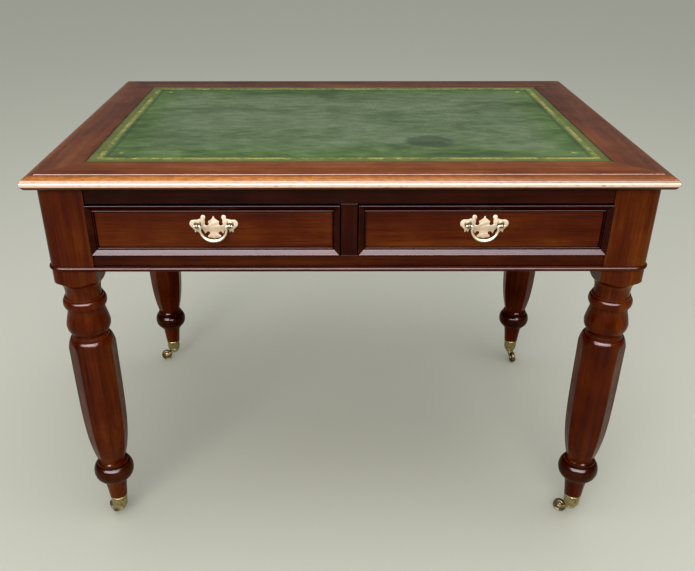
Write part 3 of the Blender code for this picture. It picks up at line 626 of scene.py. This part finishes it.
def leather():
    """Green hide: antiqued round the edge, with a painted sheen that pales it towards the middle, and
    one old stain.
    """
    _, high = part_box("leather_inset")
    paint = Paint("leather")
    axes = paint.axes()
    across = paint.number("SUBTRACT", high.x, paint.number("ABSOLUTE", axes["X"]))
    along = paint.number("SUBTRACT", high.y, paint.number("ABSOLUTE", axes["Y"]))
    inset = paint.number("MINIMUM", across, along)
    clouds = {"detail": 6.0, "roughness": 0.6, "distortion": 0.6}
    cloud = paint.stretched(paint.place, (6.0, 12.0, 6.0), **clouds)
    rubbed = paint.stretched(paint.place, (26.0, 56.0, 26.0), detail=4.0, roughness=0.62)
    tone = paint.plus(paint.product(cloud, 0.74), rubbed, 0.26)
    colour = paint.ramp(tone, HIDE_TONES)
    # Painted sheen: a pale grey haze over the middle of the hide.
    sheen_reach = paint.between(paint.plus(inset, cloud, 0.09), 0.075, 0.17)
    painted_sheen = paint.product(sheen_reach, paint.between(tone, 0.36, 0.62, 0.3, 0.66))
    colour = paint.mix(painted_sheen, colour, HIDE_PAINTED_SHEEN)
    olive = paint.between(inset, GILT_INNER + 0.003, GILT_OUTER - 0.004, 0.0, 0.9)
    colour = paint.mix(olive, colour, HIDE_OLIVE)
    colour = paint.mix(paint.between(inset, 0.006, 0.0, 0.0, 0.8), colour, HIDE_RIM)
    for line in BLIND_LINES:
        away = paint.number("ABSOLUTE", paint.number("SUBTRACT", inset, line))
        colour = paint.mix(paint.between(away, 0.001, 0.0003, 0.0, 0.75), colour, HIDE_BURNT)
    offset = paint.vector("SUBTRACT", paint.place, OLD_STAIN)
    oval = paint.vector("MULTIPLY", offset, (20.0, 26.0, 0.0))
    length = paint.add("ShaderNodeVectorMath", {0: oval}, operation="LENGTH").outputs["Value"]
    reach = paint.plus(length, paint.noise(paint.place, 22.0), 0.5)
    colour = paint.mix(paint.between(reach, 1.3, 1.05, 0.0, 0.62), colour, HIDE_STAIN)
    creases = paint.noise(paint.place, 240.0, 4.0, 0.7)
    cells = paint.add("ShaderNodeTexVoronoi", {"Vector": paint.place, "Scale": 900.0})
    relief = paint.plus(cells.outputs[0], creases, 0.6)
    rough = paint.between(rubbed, 0.35, 0.65, 0.4, 0.56)
    paint.set(Base_Color=colour, Roughness=rough, Normal=paint.bump(relief, 0.00018, 0.45))
    paint.set(Specular_IOR_Level=0.5, Coat_Weight=0.12, Coat_Roughness=0.38)
    return paint.material


def gilding():
    """Gold leaf tooled into the leather, rubbed away in places."""
    paint = Paint("gilding")
    rub = paint.noise(paint.place, 95.0, 4.0, 0.65)
    kept = paint.plus(rub, paint.noise(paint.place, 14.0), 0.7)
    gold = paint.between(kept, 0.72, 1.04)
    colour = paint.mix(gold, RUBBED_GOLD, GOLD)
    paint.set(Base_Color=colour, Metallic=paint.product(gold, 0.55))
    paint.set(Roughness=paint.between(gold, 0.0, 1.0, 0.55, 0.42))
    paint.set(Normal=paint.bump(paint.noise(paint.place, 700.0), 0.0001, 0.4))
    return paint.material


def metal(kind, seed, owner=""):
    """Metal that is bright where it is rubbed, with dull tarnish in its corners."""
    bright, dull, roughness, metalness, tarnish = METALS[kind]
    paint = Paint(owner + kind)
    place = paint.shifted(seed)
    rounded = paint.rounded(0.0006)
    crevice = paint.crevice(0.006)
    cloud = paint.noise(place, 170.0, 4.0, 0.65)
    spots = paint.between(paint.noise(place, 620.0, 3.0, 0.6), 0.58, 0.7)
    old = paint.between(cloud, 0.62 - tarnish / 3, 0.75, 0.0, tarnish)
    old = paint.number("MAXIMUM", old, paint.between(crevice, 0.75, 0.3, 0.0, 0.9))
    old = paint.number("MAXIMUM", old, paint.product(spots, tarnish))
    old = paint.number("SUBTRACT", old, paint.product(paint.edge(rounded), 0.8), clamp=True)
    paint.set(Base_Color=paint.mix(old, bright, dull))
    paint.set(Roughness=paint.between(old, 0.0, 1.0, *roughness))
    paint.set(Metallic=paint.between(old, 0.0, 1.0, *metalness))
    scratches = paint.stretched(place, (500.0, 500.0, 3200.0), detail=2.0)
    relief = paint.plus(cloud, scratches, 0.3)
    paint.set(Normal=paint.bump(relief, 0.00008, 0.5, Normal=rounded))
    return paint.material


def floor_material():
    paint = Paint("floor")
    colour = paint.ramp(paint.noise(paint.place, 420.0), FLOOR_TONES)
    paint.set(Base_Color=colour, Roughness=0.9, Specular_IOR_Level=0.0)
    return paint.material


def lay_floor():
    half = FLOOR_SIZE / 2
    corners = [(-half, -half, 0), (half, -half, 0), (half, half, 0), (-half, half, 0)]
    mesh = bpy.data.meshes.new("floor")
    mesh.from_pydata(corners, [], [(0, 1, 2, 3)])
    mesh.materials.append(floor_material())
    floor = in_scene("floor", mesh)


# Top


def border_profile(height, thickness, width, dent):
    """(inwards from the nose, height) round the border, from its flat over the edge."""
    nose_z = height - NOSE_DROP
    shelf = nose_z + 0.0025
    underside = height - thickness
    points = [(width, height), (0.0212, height), (0.0206, height - 0.0002)]
    points += [(OVOLO_WIDTH, height - QUIRK)]
    rise = height - QUIRK - shelf
    run = OVOLO_WIDTH - NOSE_TUCK
    points += arc((OVOLO_WIDTH, shelf), (-run, rise), 84, 3, 13)
    nose = [(NOSE_TUCK, shelf - 0.0003), (0.0004, nose_z + 0.0012), (0.0, nose_z - 0.0008)]
    nose += [(0.0006, nose_z - 0.0034), (0.0024, nose_z - 0.0066), (0.0048, underside + 0.0008)]
    points += [(inwards + dent, z) for inwards, z in smooth(nose, 4)]
    points += [(0.0062, underside)]
    groove_low = underside + TONGUE_RISE - GAP
    groove_high = groove_low + TONGUE_THICKNESS + 2 * GAP
    bottom = width - TONGUE_LENGTH - GAP
    points += [(width, underside), (width, groove_low), (bottom, groove_low)]
    return points + [(bottom, groove_high), (width, groove_high)]


def make_borders():
    """Each border is swept along the front, then turned by quarters to its own side."""
    for quarter, side in enumerate(("front", "right", "back", "left")):
        node = "top_border_" + side
        low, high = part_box(node)
        size = high - low
        along_y = quarter % 2 == 1
        length, width = (size.y, size.x) if along_y else (size.x, size.y)
        outer = cad_box[1].x if along_y else cad_box[1].y
        rings = []
        for step in range(BORDER_STEPS + 1):
            t = 2 * step / BORDER_STEPS - 1
            dent = DENT_DEPTH * max(0.0, wander(t * 3, 40 + quarter) - 0.2)
            profile = border_profile(high.z, size.z, width, dent)
            rings.append([(t * (length / 2 - inwards), inwards - outer, z) for inwards, z in profile])
        mesh = swept(rings)
        mesh.transform(Matrix.Rotation(quarter * math.pi / 2, 4, "Z"))
        stain_and_shade = (0.86, 1.06, 1.08) if side == "front" else (0.64, 0.68, 0.6)
        # The front edge takes the full painted light and wear, the sides and back less.
        edge_wear_and_light = 1.0 if side == "front" else 0.3
        look = wood(node, "mahogany_top", "Y" if along_y else "X", 11 + quarter, stain_and_shade, edge_wear_and_light)
        piece(node + "_moulded", mesh, look, "frame", [node], sharp=40)


def leather_stations(half):
    """Grid lines from edge to edge, close together at the rim and at the blind lines."""
    insets = [0.0, 0.0005, 0.0015, 0.006, 0.012, GILT_OUTER, GILT_INNER]
    for line in BLIND_LINES:
        insets += [line + 0.0004 * step for step in range(-2, 3)]
    insets += [0.04]
    inner = half - insets[-1]
    count = max(2, round(2 * inner / 0.012))
    middle = [inner * (2 * i / count - 1) for i in range(1, count)]
    return [inset - half for inset in insets] + middle + [half - inset for inset in reversed(insets)]


def make_leather():
    """The hide's face pillows very slightly, with its rim and blind lines pressed in."""
    low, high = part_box("leather_inset")
    ys = leather_stations(high.y)
    rings = []
    for x in leather_stations(high.x):
        face = []
        for y in ys:
            inset = min(high.x - abs(x), high.y - abs(y))
            drop = RIM_DROP * math.exp(-inset / 0.0008)
            for line in BLIND_LINES:
                drop += BLIND_DEPTH * math.exp(-(((inset - line) / 0.0005) ** 2))
            ground = PILLOW_DEPTH * min(1.0, max(0.0, (inset - 0.035) / 0.03))
            drop += ground * (1 + wander(3 * x + 1.7 * y, 5) * wander(2.3 * y - x, 6))
            face.append((x, y, high.z - drop))
        rings.append(face + [(x, y, low.z) for y in reversed(ys)])
    hide = piece("leather_hide", swept(rings), leather(), "frame", ["leather_inset"])


def stamp(outline, place, turn, base):
    """One small tooled shape: an outline pressed on the leather, a little proud of it."""
    points = [Vector(point) for point in outline]
    middle = sum(points, Vector((0.0, 0.0))) / len(points)
    rings = []
    for shrink, rise in ((1.0, 0.0), (1.0, 0.6), (0.82, 1.0)):
        z = base + rise * TOOLING_RISE
        rings.append([(*middle.lerp(point, shrink), z) for point in points])
    mesh = swept(rings)
    mesh.transform(Matrix.Translation((place[0], place[1], 0.0)) @ Matrix.Rotation(turn, 4, "Z"))
    return mesh


def leaf(length, width, steps=5):
    """A pointed leaf along +X from the origin."""
    upper = []
    for step in range(1, steps):
        t = step / steps
        upper.append((length * t, width / 2 * math.sin(math.pi * t) ** 0.8))
    return [(0.0, 0.0)] + [(x, -y) for x, y in upper] + [(length, 0.0)] + upper[::-1]


def line_frame(inset, width, half_x, half_y, base):
    """A thin raised line run as a mitred rectangle."""
    rings = []
    for side_x, side_y in ((-1, -1), (1, -1), (1, 1), (-1, 1)):
        ring = []
        for across, rise in ((-0.5, 0.0), (-0.3, 1.0), (0.3, 1.0), (0.5, 0.0)):
            x = side_x * (half_x - inset - across * width)
            y = side_y * (half_y - inset - across * width)
            ring.append((x, y, base + rise * TOOLING_RISE))
        rings.append(ring)
    return swept(rings, closed=True)


def roll_motif(place, turn, base):
    """The repeating pattern between the two gilt lines: a lozenge, a dot and paired leaves."""
    lozenge = [(-0.0017, 0.0), (0.0, -0.0014), (0.0017, 0.0), (0.0, 0.0014)]
    dot = arc((ROLL_PITCH / 2, 0.0), (0.0006, 0.0006), 0, 300, 5)
    shapes = [stamp(lozenge, place, turn, base), stamp(dot, place, turn, base)]
    curl = leaf(0.003, 0.0011, 4)
    for side_x in (-1, 1):
        for side_y in (-1, 1):
            leaf_turn = math.atan2(side_y * 0.55, side_x)
            spot = Matrix.Rotation(turn, 2) @ Vector((side_x * 0.0013, side_y * 0.0008))
            where = (place[0] + spot.x, place[1] + spot.y)
            shapes.append(stamp(curl, where, turn + leaf_turn, base))
    return shapes


def fleuron(place, turn, base):
    """The corner flower: three petals, two small leaves and a dot."""
    shapes = []
    for angle, length, width in ((0, 0.0085, 0.0034), (52, 0.0066, 0.0026), (-52, 0.0066, 0.0026)):
        shapes.append(stamp(leaf(length, width), place, turn + math.radians(angle), base))
    for angle in (118, -118):
        shapes.append(stamp(leaf(0.0048, 0.0017), place, turn + math.radians(angle), base))
    shapes.append(stamp(arc((-0.0026, 0.0), (0.0011, 0.0011), 0, 315, 7), place, turn, base))
    return shapes


def make_gilding():
    _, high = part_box("leather_inset")
    base = high.z - 0.00002
    shapes = [line_frame(GILT_OUTER, 0.0011, high.x, high.y, base)]
    shapes.append(line_frame(GILT_INNER, 0.0007, high.x, high.y, base))
    centre_line = (GILT_OUTER + GILT_INNER) / 2
    for half_along, half_across, turn in ((high.x, high.y, 0.0), (high.y, high.x, math.pi / 2)):
        run = half_along - centre_line
        count = round(2 * run / ROLL_PITCH)
        pitch = 2 * run / count
        for side in (-1, 1):
            across = side * (half_across - centre_line)
            for i in range(count):
                spot = Matrix.Rotation(turn, 2) @ Vector((-run + pitch * (i + 0.25), across))
                shapes += roll_motif(tuple(spot), turn, base)
    for side_x in (-1, 1):
        for side_y in (-1, 1):
            place = (side_x * (high.x - FLEURON_INSET), side_y * (high.y - FLEURON_INSET))
            shapes += fleuron(place, math.atan2(-side_y, -side_x), base)
    piece("leather_gilding", merged(shapes), gilding(), "frame", sharp=60)


# Legs


def bulge(low, high, end_radius, full_radius, steps):
    """(height, radius) points of a half-round between two heights."""
    points = []
    for step in range(steps + 1):
        angle = math.pi * (step / steps - 0.5)
        height = (low + high) / 2 + (high - low) / 2 * math.sin(angle)
        points.append((height, end_radius + (full_radius - end_radius) * math.cos(angle)))
    return points


def leg_turning(top):
    """(height, radius) up the turned outline. A radius of 1 leaves the section whole."""
    profile = smooth([(0.0308, 0.0107), (0.037, 0.0126), (0.059, 0.0146)])
    profile += smooth([(0.0593, 0.0174), (0.08, 0.0194), (0.1035, 0.0222)], 6)
    profile += smooth([(0.104, 0.0262), (0.1067, 0.0272), (0.1095, 0.0268)], 3)
    profile += bulge(0.1102, 0.147, 0.0282, 0.039, 26)
    profile += [(0.1476, 0.03), (0.149, 0.0304), (0.1518, 0.03), (0.1524, 0.0262)]
    rise = SHAFT[1] - 0.024 - SHAFT[0]
    profile += [(SHAFT[0] + rise * step / 48, 1.0) for step in range(49)]
    shoulder = [(0.4212, 0.044), (0.4265, 0.0425), (0.434, 0.0408), (0.44, 0.0386)]
    profile += smooth(shoulder + [(SHAFT[1], 0.0362)], 7)
    profile += smooth([(0.4445, 0.034), (0.447, 0.0337), (0.4495, 0.0332)], 2)
    profile += smooth([(0.45, 0.0321), (0.453, 0.032), (0.457, 0.0345), (0.464, 0.038)], 4)
    profile += smooth([(0.465, 0.0383), (0.473, 0.0392), (0.485, 0.0368), (0.497, 0.0337)], 6)
    profile += [(0.503, 0.0333), (0.508, 0.0334)]
    profile += bulge(0.5085, 0.5265, 0.034, 0.0385, 16)
    profile += [(0.527, 0.0344), (0.53, 0.034), (0.5305, 0.0318)]
    cove = [(0.531, 0.0317), (0.54, 0.0313), (0.55, 0.0326), (0.557, 0.0356)]
    cove += [(0.562, 0.04), (0.566, 0.045), (0.57, 0.053)]
    profile += smooth(cove, 6)
    profile += [(height, 1.0) for height in np.linspace(0.5706, top, 12)]
    return profile


def octagon_radius(height, angle):
    """The eight-sided shaft, its arrises a little flattened."""
    down = max(0.0, (TAPER[1] - height) / (TAPER[1] - TAPER[0]))
    corner = 0.0428 - 0.0008 * down - 0.016 * down**5.5
    away = (angle + math.pi / 8) % (math.pi / 4) - math.pi / 8
    return min(corner * math.cos(math.pi / 8) / math.cos(away), corner * 0.9955)


def block_radius(angle, outer_angle, half):
    """Distance to the square block's face, round at the desk's own corner."""
    along = max(abs(math.cos(angle)), abs(math.sin(angle)))
    square = min(half / along, half * math.sqrt(2) * 0.986)
    away = (angle - outer_angle + math.pi) % (2 * math.pi) - math.pi
    if abs(away) > math.radians(21):
        return square
    inner = half - BLOCK_CORNER
    reach = inner * math.sqrt(2) * math.cos(away)
    return min(square, reach + math.sqrt(reach**2 - 2 * inner**2 + BLOCK_CORNER**2))


def leg_angles():
    """Angles that crowd at the shaft's arrises and the block's corners."""
    offsets = [0.0, 0.7, 2.4, 5.2, 9.0, 13.0, 17.0, 20.2, 21.8, 22.5]
    sector = offsets + [45.0 - offset for offset in reversed(offsets[1:-1])]
    return [math.radians(22.5 + 45 * k + offset) for k in range(8) for offset in sector]


def make_legs():
    angles = leg_angles()
    for seed, place in enumerate(HEADINGS):
        node = "leg_" + place
        low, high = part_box(node)
        half = (high.x - low.x) / 2
        centre = middle_of(node)
        quarter = math.floor(math.atan2(centre.y, centre.x) / (math.pi / 2))
        outer_angle = math.radians(45 + 90 * quarter)
        rings = []
        for height, turning in leg_turning(high.z):
            ring = []
            for angle in angles:
                radius = turning
                if SHAFT[0] - 0.001 < height < SHAFT[1] + 0.001:
                    radius = min(radius, octagon_radius(height, angle))
                if height > BLOCK_FOOT:
                    radius = min(radius, block_radius(angle, outer_angle, half))
                x = centre.x + radius * math.cos(angle)
                ring.append((x, centre.y + radius * math.sin(angle), height))
            rings.append(ring)
        look = wood(node, "mahogany", "Z", 31 + seed, dark_band=BULB)
        piece(node + "_turned", swept(rings), look, "frame", [node], sharp=24)


# Frieze


def bead_ring(x, y, normal, centre_z, height):
    """The half-round bead's section where it passes (x, y), standing out along normal."""
    ring = []
    for step in range(15):
        angle = math.pi * (step / 14 - 0.5)
        out = GAP + (BEAD_DEPTH - GAP) * math.cos(angle) ** 0.85 if step not in (0, 14) else GAP
        z = centre_z + height / 2 * math.sin(angle)
        ring.append((x + normal[0] * out, y + normal[1] * out, z))
    return ring


def make_beads():
    """Straight beads at the front and back, and one round each end and its corners."""
    low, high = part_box("bead_front")
    height = high.z - low.z
    centre_z = (high.z + low.z) / 2
    face_y = -high.y + GAP
    leg_x = high.x + GAP
    face_x = -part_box("side_rail_left")[0].x
    routes = {}
    for side, side_y in (("front", -1), ("back", 1)):
        xs = [high.x * (2 * step / BEAD_STEPS - 1) for step in range(BEAD_STEPS + 1)]
        routes[side] = [bead_ring(x, side_y * face_y, (0, side_y), centre_z, height) for x in xs]
    for side, side_x in SIDES:
        routes[side] = rings = []
        for side_y in (-1, 1):
            corner = []
            for step in range(-1, 17):
                angle = math.radians(90 * max(step, 0) / 16)
                normal = (side_x * math.sin(angle), side_y * math.cos(angle))
                x = side_x * (face_x - BLOCK_CORNER) + normal[0] * BLOCK_CORNER
                y = side_y * (face_y - BLOCK_CORNER) + normal[1] * BLOCK_CORNER
                x = side_x * leg_x if step < 0 else x
                corner.append(bead_ring(x, y, normal, centre_z, height))
            rings += corner if side_y < 0 else corner[::-1]
    look = wood("bead", "mahogany_moulding", "X", 51, (0.55, 0.45, 0.55))
    for side, rings in routes.items():
        piece("bead_" + side + "_strip", swept(rings), look, "frame", ["bead_" + side])


def dress_frame():
    plain = (1.0, 1.0, 1.0)
    boards = (
        ("front_bottom_rail", "X", (0.62, 0.5, 0.55)),
        # The top rail and the divider are darkened with painted shade, under the top's overhang and
        # between the drawers.
        ("front_top_rail", "X", (0.4, 0.22, 0.25)),
        ("back_rail", "X", plain),
        ("drawer_divider", "Z", (0.36, 0.18, 0.18)),
        ("side_rail_left", "Y", plain),
        ("side_rail_right", "Y", plain),
    )
    for seed, (node, grain, stain_and_shade) in enumerate(boards):
        dress(node, "mahogany", grain, 61 + seed, 0.0003, stain_and_shade)
    dress("top_panel", "pine", "X", 71)
    for seed, node in enumerate(("centre_kicker", "runner_left", "runner_right", "runner_centre")):
        dress(node, "pine", "Y", 81 + seed)


# Drawers


def moulding_section():
    """(inwards from the drawer's edge, out from its panel): an arris, a ramp and a small bead."""
    section = [(0.0, 0.0)] + arc((0.0013, 0.0074), (-0.0013, 0.0016), 0, 125, 8)
    section += smooth([(0.0026, 0.0084), (0.005, 0.0066), (0.0075, 0.0048), (0.0096, 0.0034)], 4)
    section += [(0.0099, 0.002), (0.0104, 0.002)]
    return section + arc((0.0118, 0.0022), (-0.0013, 0.0013), 10, 170, 7) + [(0.0133, 0.0)]


def make_moulding(side, body):
    """Four mitred lengths glued round the drawer front."""
    node = side + "_drawer_moulding"
    low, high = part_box(node)
    middle = (low + high) / 2
    half = (high - low) / 2
    lengths = []
    for quarter in range(4):
        upright = quarter % 2 == 1
        reach, across = (half.z, half.x) if upright else (half.x, half.z)
        rings = []
        for end in (-1, 1):
            ring = []
            for inwards, out in moulding_section():
                point = Vector((end * (reach - inwards - GAP / 3), 0.0, inwards - across))
                point.rotate(Matrix.Rotation(-quarter * math.pi / 2, 3, "Y"))
                ring.append((middle.x + point.x, high.y - out, middle.z + point.z))
            rings.append(ring)
        lengths.append(swept(rings))
    look = wood(node, "mahogany_moulding", "X", 91 + len(side), (0.4, 0.28, 0.42))
    piece(node + "_mitred", merged(lengths), look, body, [node])


def dress_drawer(side, seed):
    body = side + "_drawer"
    dress(body + "_front", "mahogany", "X", 101 + seed)
    boards = (("_side_left", "Y"), ("_side_right", "Y"), ("_back", "X"), ("_bottom", "X"))
    for i, (board, grain) in enumerate(boards):
        dress(body + board, "oak", grain, 111 + 10 * i + seed, 0.0005)
    make_moulding(side, body)


# Handles


def plate_outline():
    """The cut-out backplate about the middle of the line through its posts."""
    half = smooth([(0.0, 0.0138), (0.001, 0.0131), (0.0016, 0.0122)], 2)
    half += smooth([(0.0017, 0.0106), (0.004, 0.0084), (0.0092, 0.0045)], 3)
    half += arc((0.0118, 0.0004), (0.0034, 0.0034), 130, 405, 16)
    half += arc((0.0172, 0.0118), (0.0041, 0.0041), 235, -35, 16)
    half += smooth([(0.024, 0.0089), (0.0262, 0.0079), (0.029, 0.0073)], 2)
    half += arc((0.0336, 0.0004), (0.007, 0.007), 95, -50, 12)
    half += [(0.033, -0.01)]
    half += smooth([(0.0327, -0.0128), (0.032, -0.0156), (0.0305, -0.0141), (0.029, -0.0128)], 2)
    half += smooth([(0.0278, -0.0136), (0.0264, -0.0156)], 2)
    half += smooth([(0.025, -0.0105), (0.0228, -0.009), (0.0205, -0.0085), (0.018, -0.0115)], 3)
    half += [(0.0154, -0.0172)]
    half += arc((0.0104, -0.0166), (0.0033, 0.0033), 10, 245, 12)
    half += arc((0.0088, -0.0222), (0.0024, 0.0024), 95, -95, 9)
    half += smooth([(0.0045, -0.0246), (0.0022, -0.0258), (0.0006, -0.0262)], 2)
    return half + [(-x, z) for x, z in reversed(half) if x > 0]


def bail_path():
    """(x, z) from one pin, round the hanging bail, to the other pin, about the pivot."""
    post = POST_SPACING / 2
    half = [(post + KNOB_RADIUS + 0.001, 0.0), (post, 0.0)]
    half += arc((post - KNOB_RADIUS, -BAIL_ELBOW), (BAIL_ELBOW, BAIL_ELBOW), 90, 180, 6)
    for step in range(1, 30):
        z = BAIL_SHOULDER + (-BAIL_DROP - BAIL_SHOULDER) * math.sin(math.radians(3 * step))
        half.append((BAIL_HALF_WIDTH * (1 - (-z / BAIL_DROP) ** BAIL_POWER) ** (1 / BAIL_POWER), z))
    return half + [(0.0, -BAIL_DROP)] + [(-x, z) for x, z in reversed(half)]


def bail_mesh():
    """A cast brass wire, thicker at the bottom than at the pins."""
    sides = 16
    path = bail_path()
    thin, thick = BAIL_RADII
    rings = []
    for i, (x, z) in enumerate(path):
        before = Vector(path[max(i - 1, 0)])
        after = Vector(path[min(i + 1, len(path) - 1)])
        along = (after - before).normalized()
        radius = thin + (thick - thin) * (-z / BAIL_DROP) ** 2
        ring = []
        for angle in (2 * math.pi * k / sides for k in range(sides)):
            across = radius * math.cos(angle)
            ring.append((x - along.y * across, radius * math.sin(angle), z + along.x * across))
        rings.append(ring)
    return bevelled(swept(rings), 0.0004)


def post_mesh(shank_end):
    """A handle post along -Y about the panel's face, with a hole for the bail's pin."""
    flange = PLATE_THICKNESS + 2 * GAP
    profile = [(0.002, -shank_end), (0.002, flange), (0.006, flange), (0.0061, flange + 0.0006)]
    profile += smooth([(0.0056, flange + 0.0011), (0.004, flange + 0.0016), (0.0031, flange + 0.0028)])
    ball = KNOB_RADIUS + 0.0004
    profile += arc((0.0, PIVOT_PROJECTION), (ball, ball), -50, 80, 13)
    mesh = turned(profile, 36)
    mesh.transform(Matrix.Rotation(math.pi / 2, 4, "X"))
    ends = [(side * 0.01, -PIVOT_PROJECTION, 0.0) for side in (-1, 1)]
    return drilled(mesh, BAIL_RADII[0] + 2 * GAP, *ends)


def nut_mesh():
    """A square brass nut and its round washer, on the inside of the drawer front."""
    washer = turned([(0.0024, 0.0), (0.0065, 0.0), (0.0065, 0.0007), (0.0024, 0.0007)], 32, hollow=True)
    corners = [(-0.0044, -0.0044), (0.0044, -0.0044), (0.0044, 0.0044), (-0.0044, 0.0044)]
    block = bevelled(swept([[(x, y, z) for x, y in corners] for z in (0.0009, 0.0038)]), 0.0006)
    block = drilled(block, SHANK_HOLE, (0, 0, -0.01), (0, 0, 0.01))
    both = merged([washer, block])
    both.transform(Matrix.Rotation(-math.pi / 2, 4, "X"))
    return both


def make_handle(side, seed):
    body = side + "_drawer"
    plate_node = side + "_handle_plate"
    low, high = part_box(plate_node)
    middle = middle_of(plate_node)
    post_nodes = [side + "_handle_post_" + which for which, _ in SIDES]
    pivot = (middle_of(post_nodes[0]) + middle_of(post_nodes[1])) / 2
    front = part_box(body + "_front")
    plain = metal("plate_brass", 151 + seed, side + "_")
    bright = metal("bail_brass", 153 + seed, side + "_")
    dark = metal("post_brass", 155 + seed, side + "_")
    plate = prism(plate_outline(), low.y, high.y)
    shanks = []
    for side_x in (-1, 1):
        ends = [(side_x * POST_SPACING / 2, y, 0.0) for y in (low.y - 0.01, high.y + 0.01)]
        shanks.append(rod(SHANK_HOLE, *ends))
    plate = boolean(bevelled(plate, 0.00055, 28), shanks, "DIFFERENCE")
    plate = moved(plate, (middle.x, 0.0, pivot.z))
    piece(plate_node + "_cast", plate, plain, body, [plate_node])
    _, post_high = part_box(post_nodes[0])
    post = post_mesh(post_high.y - front[0].y)
    nut = nut_mesh()
    for (which, side_x), node in zip(SIDES, post_nodes):
        place = (middle_of(node).x, front[0].y, pivot.z)
        piece(node + "_cast", moved(post, place), dark, body, [node])
        nut_place = (place[0], front[1].y + GAP, place[2])
        name = side + "_handle_nut_" + which
        piece(name, moved(nut, nut_place), bright, body)
    bail = moved(bail_mesh(), (middle.x, front[0].y - PIVOT_PROJECTION, pivot.z))
    node = side + "_handle_bail"
    piece(node + "_cast", bail, bright, side + "_bail", [node])


# Castors, about the swivel axis at floor level, with the wheel trailing along +X


def cup_mesh(low, high):
    """The cup round the leg's foot, with a beaded lip and two turned lines."""
    outer = [(0.0028, low), (0.01, low)]
    outer += smooth([(0.0104, low + 0.0003), (0.013, low + 0.003), (0.0146, low + 0.0068)], 3)
    outer += [(0.0149, low + 0.0074), (0.0147, low + 0.0078)]
    outer += smooth([(0.0149, low + 0.0082), (0.0157, low + 0.012), (0.0163, high - 0.0042)], 3)
    outer += arc((0.0163, high - 0.002), (0.0011, 0.0018), -80, 75, 8)
    inner = [(0.0156, high), (0.0152, high - 0.0002), (0.0138, 0.037), (0.0113, CUP_FLOOR)]
    return turned(outer + inner + [(0.0028, CUP_FLOOR)], 56, hollow=True)


def horn_mesh(cup_low):
    """The forked horn with its riveted swivel pin."""
    head = CUP_FLOOR + 0.0004
    disc_top = cup_low - 0.0004
    profile = [(0.008, 0.0222), (0.0092, 0.0226), (0.0098, 0.0234), (0.0098, disc_top - 0.0004)]
    profile += [(0.0094, disc_top), (0.0022, disc_top), (0.0022, head), (0.0045, head)]
    profile += arc((0.0, head), (0.0045, 0.0016), 20, 75, 4)
    outline = [(-0.006, 0.0228), (-0.0052, 0.025), (-0.004, 0.0254), (0.006, 0.0254)]
    outline += smooth([(0.0085, 0.0246), (0.012, 0.0228), (0.0155, 0.0205), (0.0198, 0.0186)], 4)
    outline += arc((TRAIL, WHEEL_RADIUS), (0.0042, 0.0042), 95, -150, 20)
    outline += smooth([(0.015, 0.0122), (0.0118, 0.0142), (0.008, 0.018), (0.003, 0.0222)], 4)
    near = WHEEL_WIDTH / 2 + FORK_CLEARANCE
    arms = [bevelled(prism(outline, near, near + ARM_THICKNESS), 0.0005)]
    arms.append(bevelled(prism(outline, -near - ARM_THICKNESS, -near), 0.0005))
    horn = boolean(turned(profile, 48), arms, "UNION")
    ends = [(TRAIL, side * WHEEL_WIDTH, WHEEL_RADIUS) for side in (-1, 1)]
    return drilled(horn, AXLE_RADIUS + 2 * GAP, *ends)


def along_axle(profile, hollow=False):
    """(radius, distance) points on one side of the wheel, mirrored and turned on the axle."""
    both = [(r, -z) for r, z in reversed(profile) if z > 0] + profile
    mesh = turned(both, 56, hollow)
    mesh.transform(Matrix.Rotation(math.pi / 2, 4, "X"))
    return mesh


def axle_mesh():
    end = WHEEL_WIDTH / 2 + FORK_CLEARANCE + ARM_THICKNESS
    profile = [(AXLE_RADIUS, 0.001), (AXLE_RADIUS, end + GAP), (0.0032, end + GAP)]
    profile += [(0.0031, end + 0.0008), (0.0024, end + 0.0012), (0.001, end + 0.0014)]
    return along_axle(profile)


def wheel_mesh():
    side = WHEEL_WIDTH / 2
    profile = [(WHEEL_RADIUS, 0.0), (WHEEL_RADIUS, side - 0.002)]
    profile += arc((WHEEL_RADIUS - 0.0016, side - 0.0018), (0.0016, 0.0018), 15, 90, 5)
    profile += smooth([(0.0112, side - 0.0002), (0.0104, side - 0.0014), (0.0085, side - 0.0016)], 3)
    profile += smooth([(0.0062, side - 0.0012), (0.0046, side - 0.0001)], 3)
    profile += [(AXLE_RADIUS + 2 * GAP, side)]
    return along_axle(profile, hollow=True)


def make_castors():
    old = metal("old_brass", 161)
    dark = metal("wheel_brass", 162)
    iron = metal("iron", 163)
    cup_low, cup_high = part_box("castor_front_left_cup")
    cup = cup_mesh(cup_low.z, cup_high.z)
    horn = horn_mesh(cup_low.z)
    axle = axle_mesh()
    wheel = wheel_mesh()
    for place, heading in HEADINGS.items():
        name = "castor_" + place
        turn = math.radians(heading)
        swivel = middle_of(name + "_cup")
        swivel.z = 0.0
        hub = middle_of(name + "_wheel")
        fork = name + "_fork"
        made = (
            ("_cup", cup, swivel, old, "frame", "tarnished_brass"),
            ("_horn", horn, swivel, old, fork, "tarnished_brass"),
            ("_axle", axle, hub, iron, fork, "iron"),
            ("_wheel", wheel, hub, dark, name + "_roller", "tarnished_brass"),
        )
        for part, mesh, where, look, body, slot in made:
            piece(name + part + "_cast", moved(mesh, where, turn), look, body, [name + part])


def main():
    put_camera()
    light_studio()
    lay_floor()
    make_borders()
    make_leather()
    make_gilding()
    make_legs()
    make_beads()
    dress_frame()
    for seed, (side, _) in enumerate(SIDES):
        dress_drawer(side, seed)
        make_handle(side, seed)
    make_castors()


main()
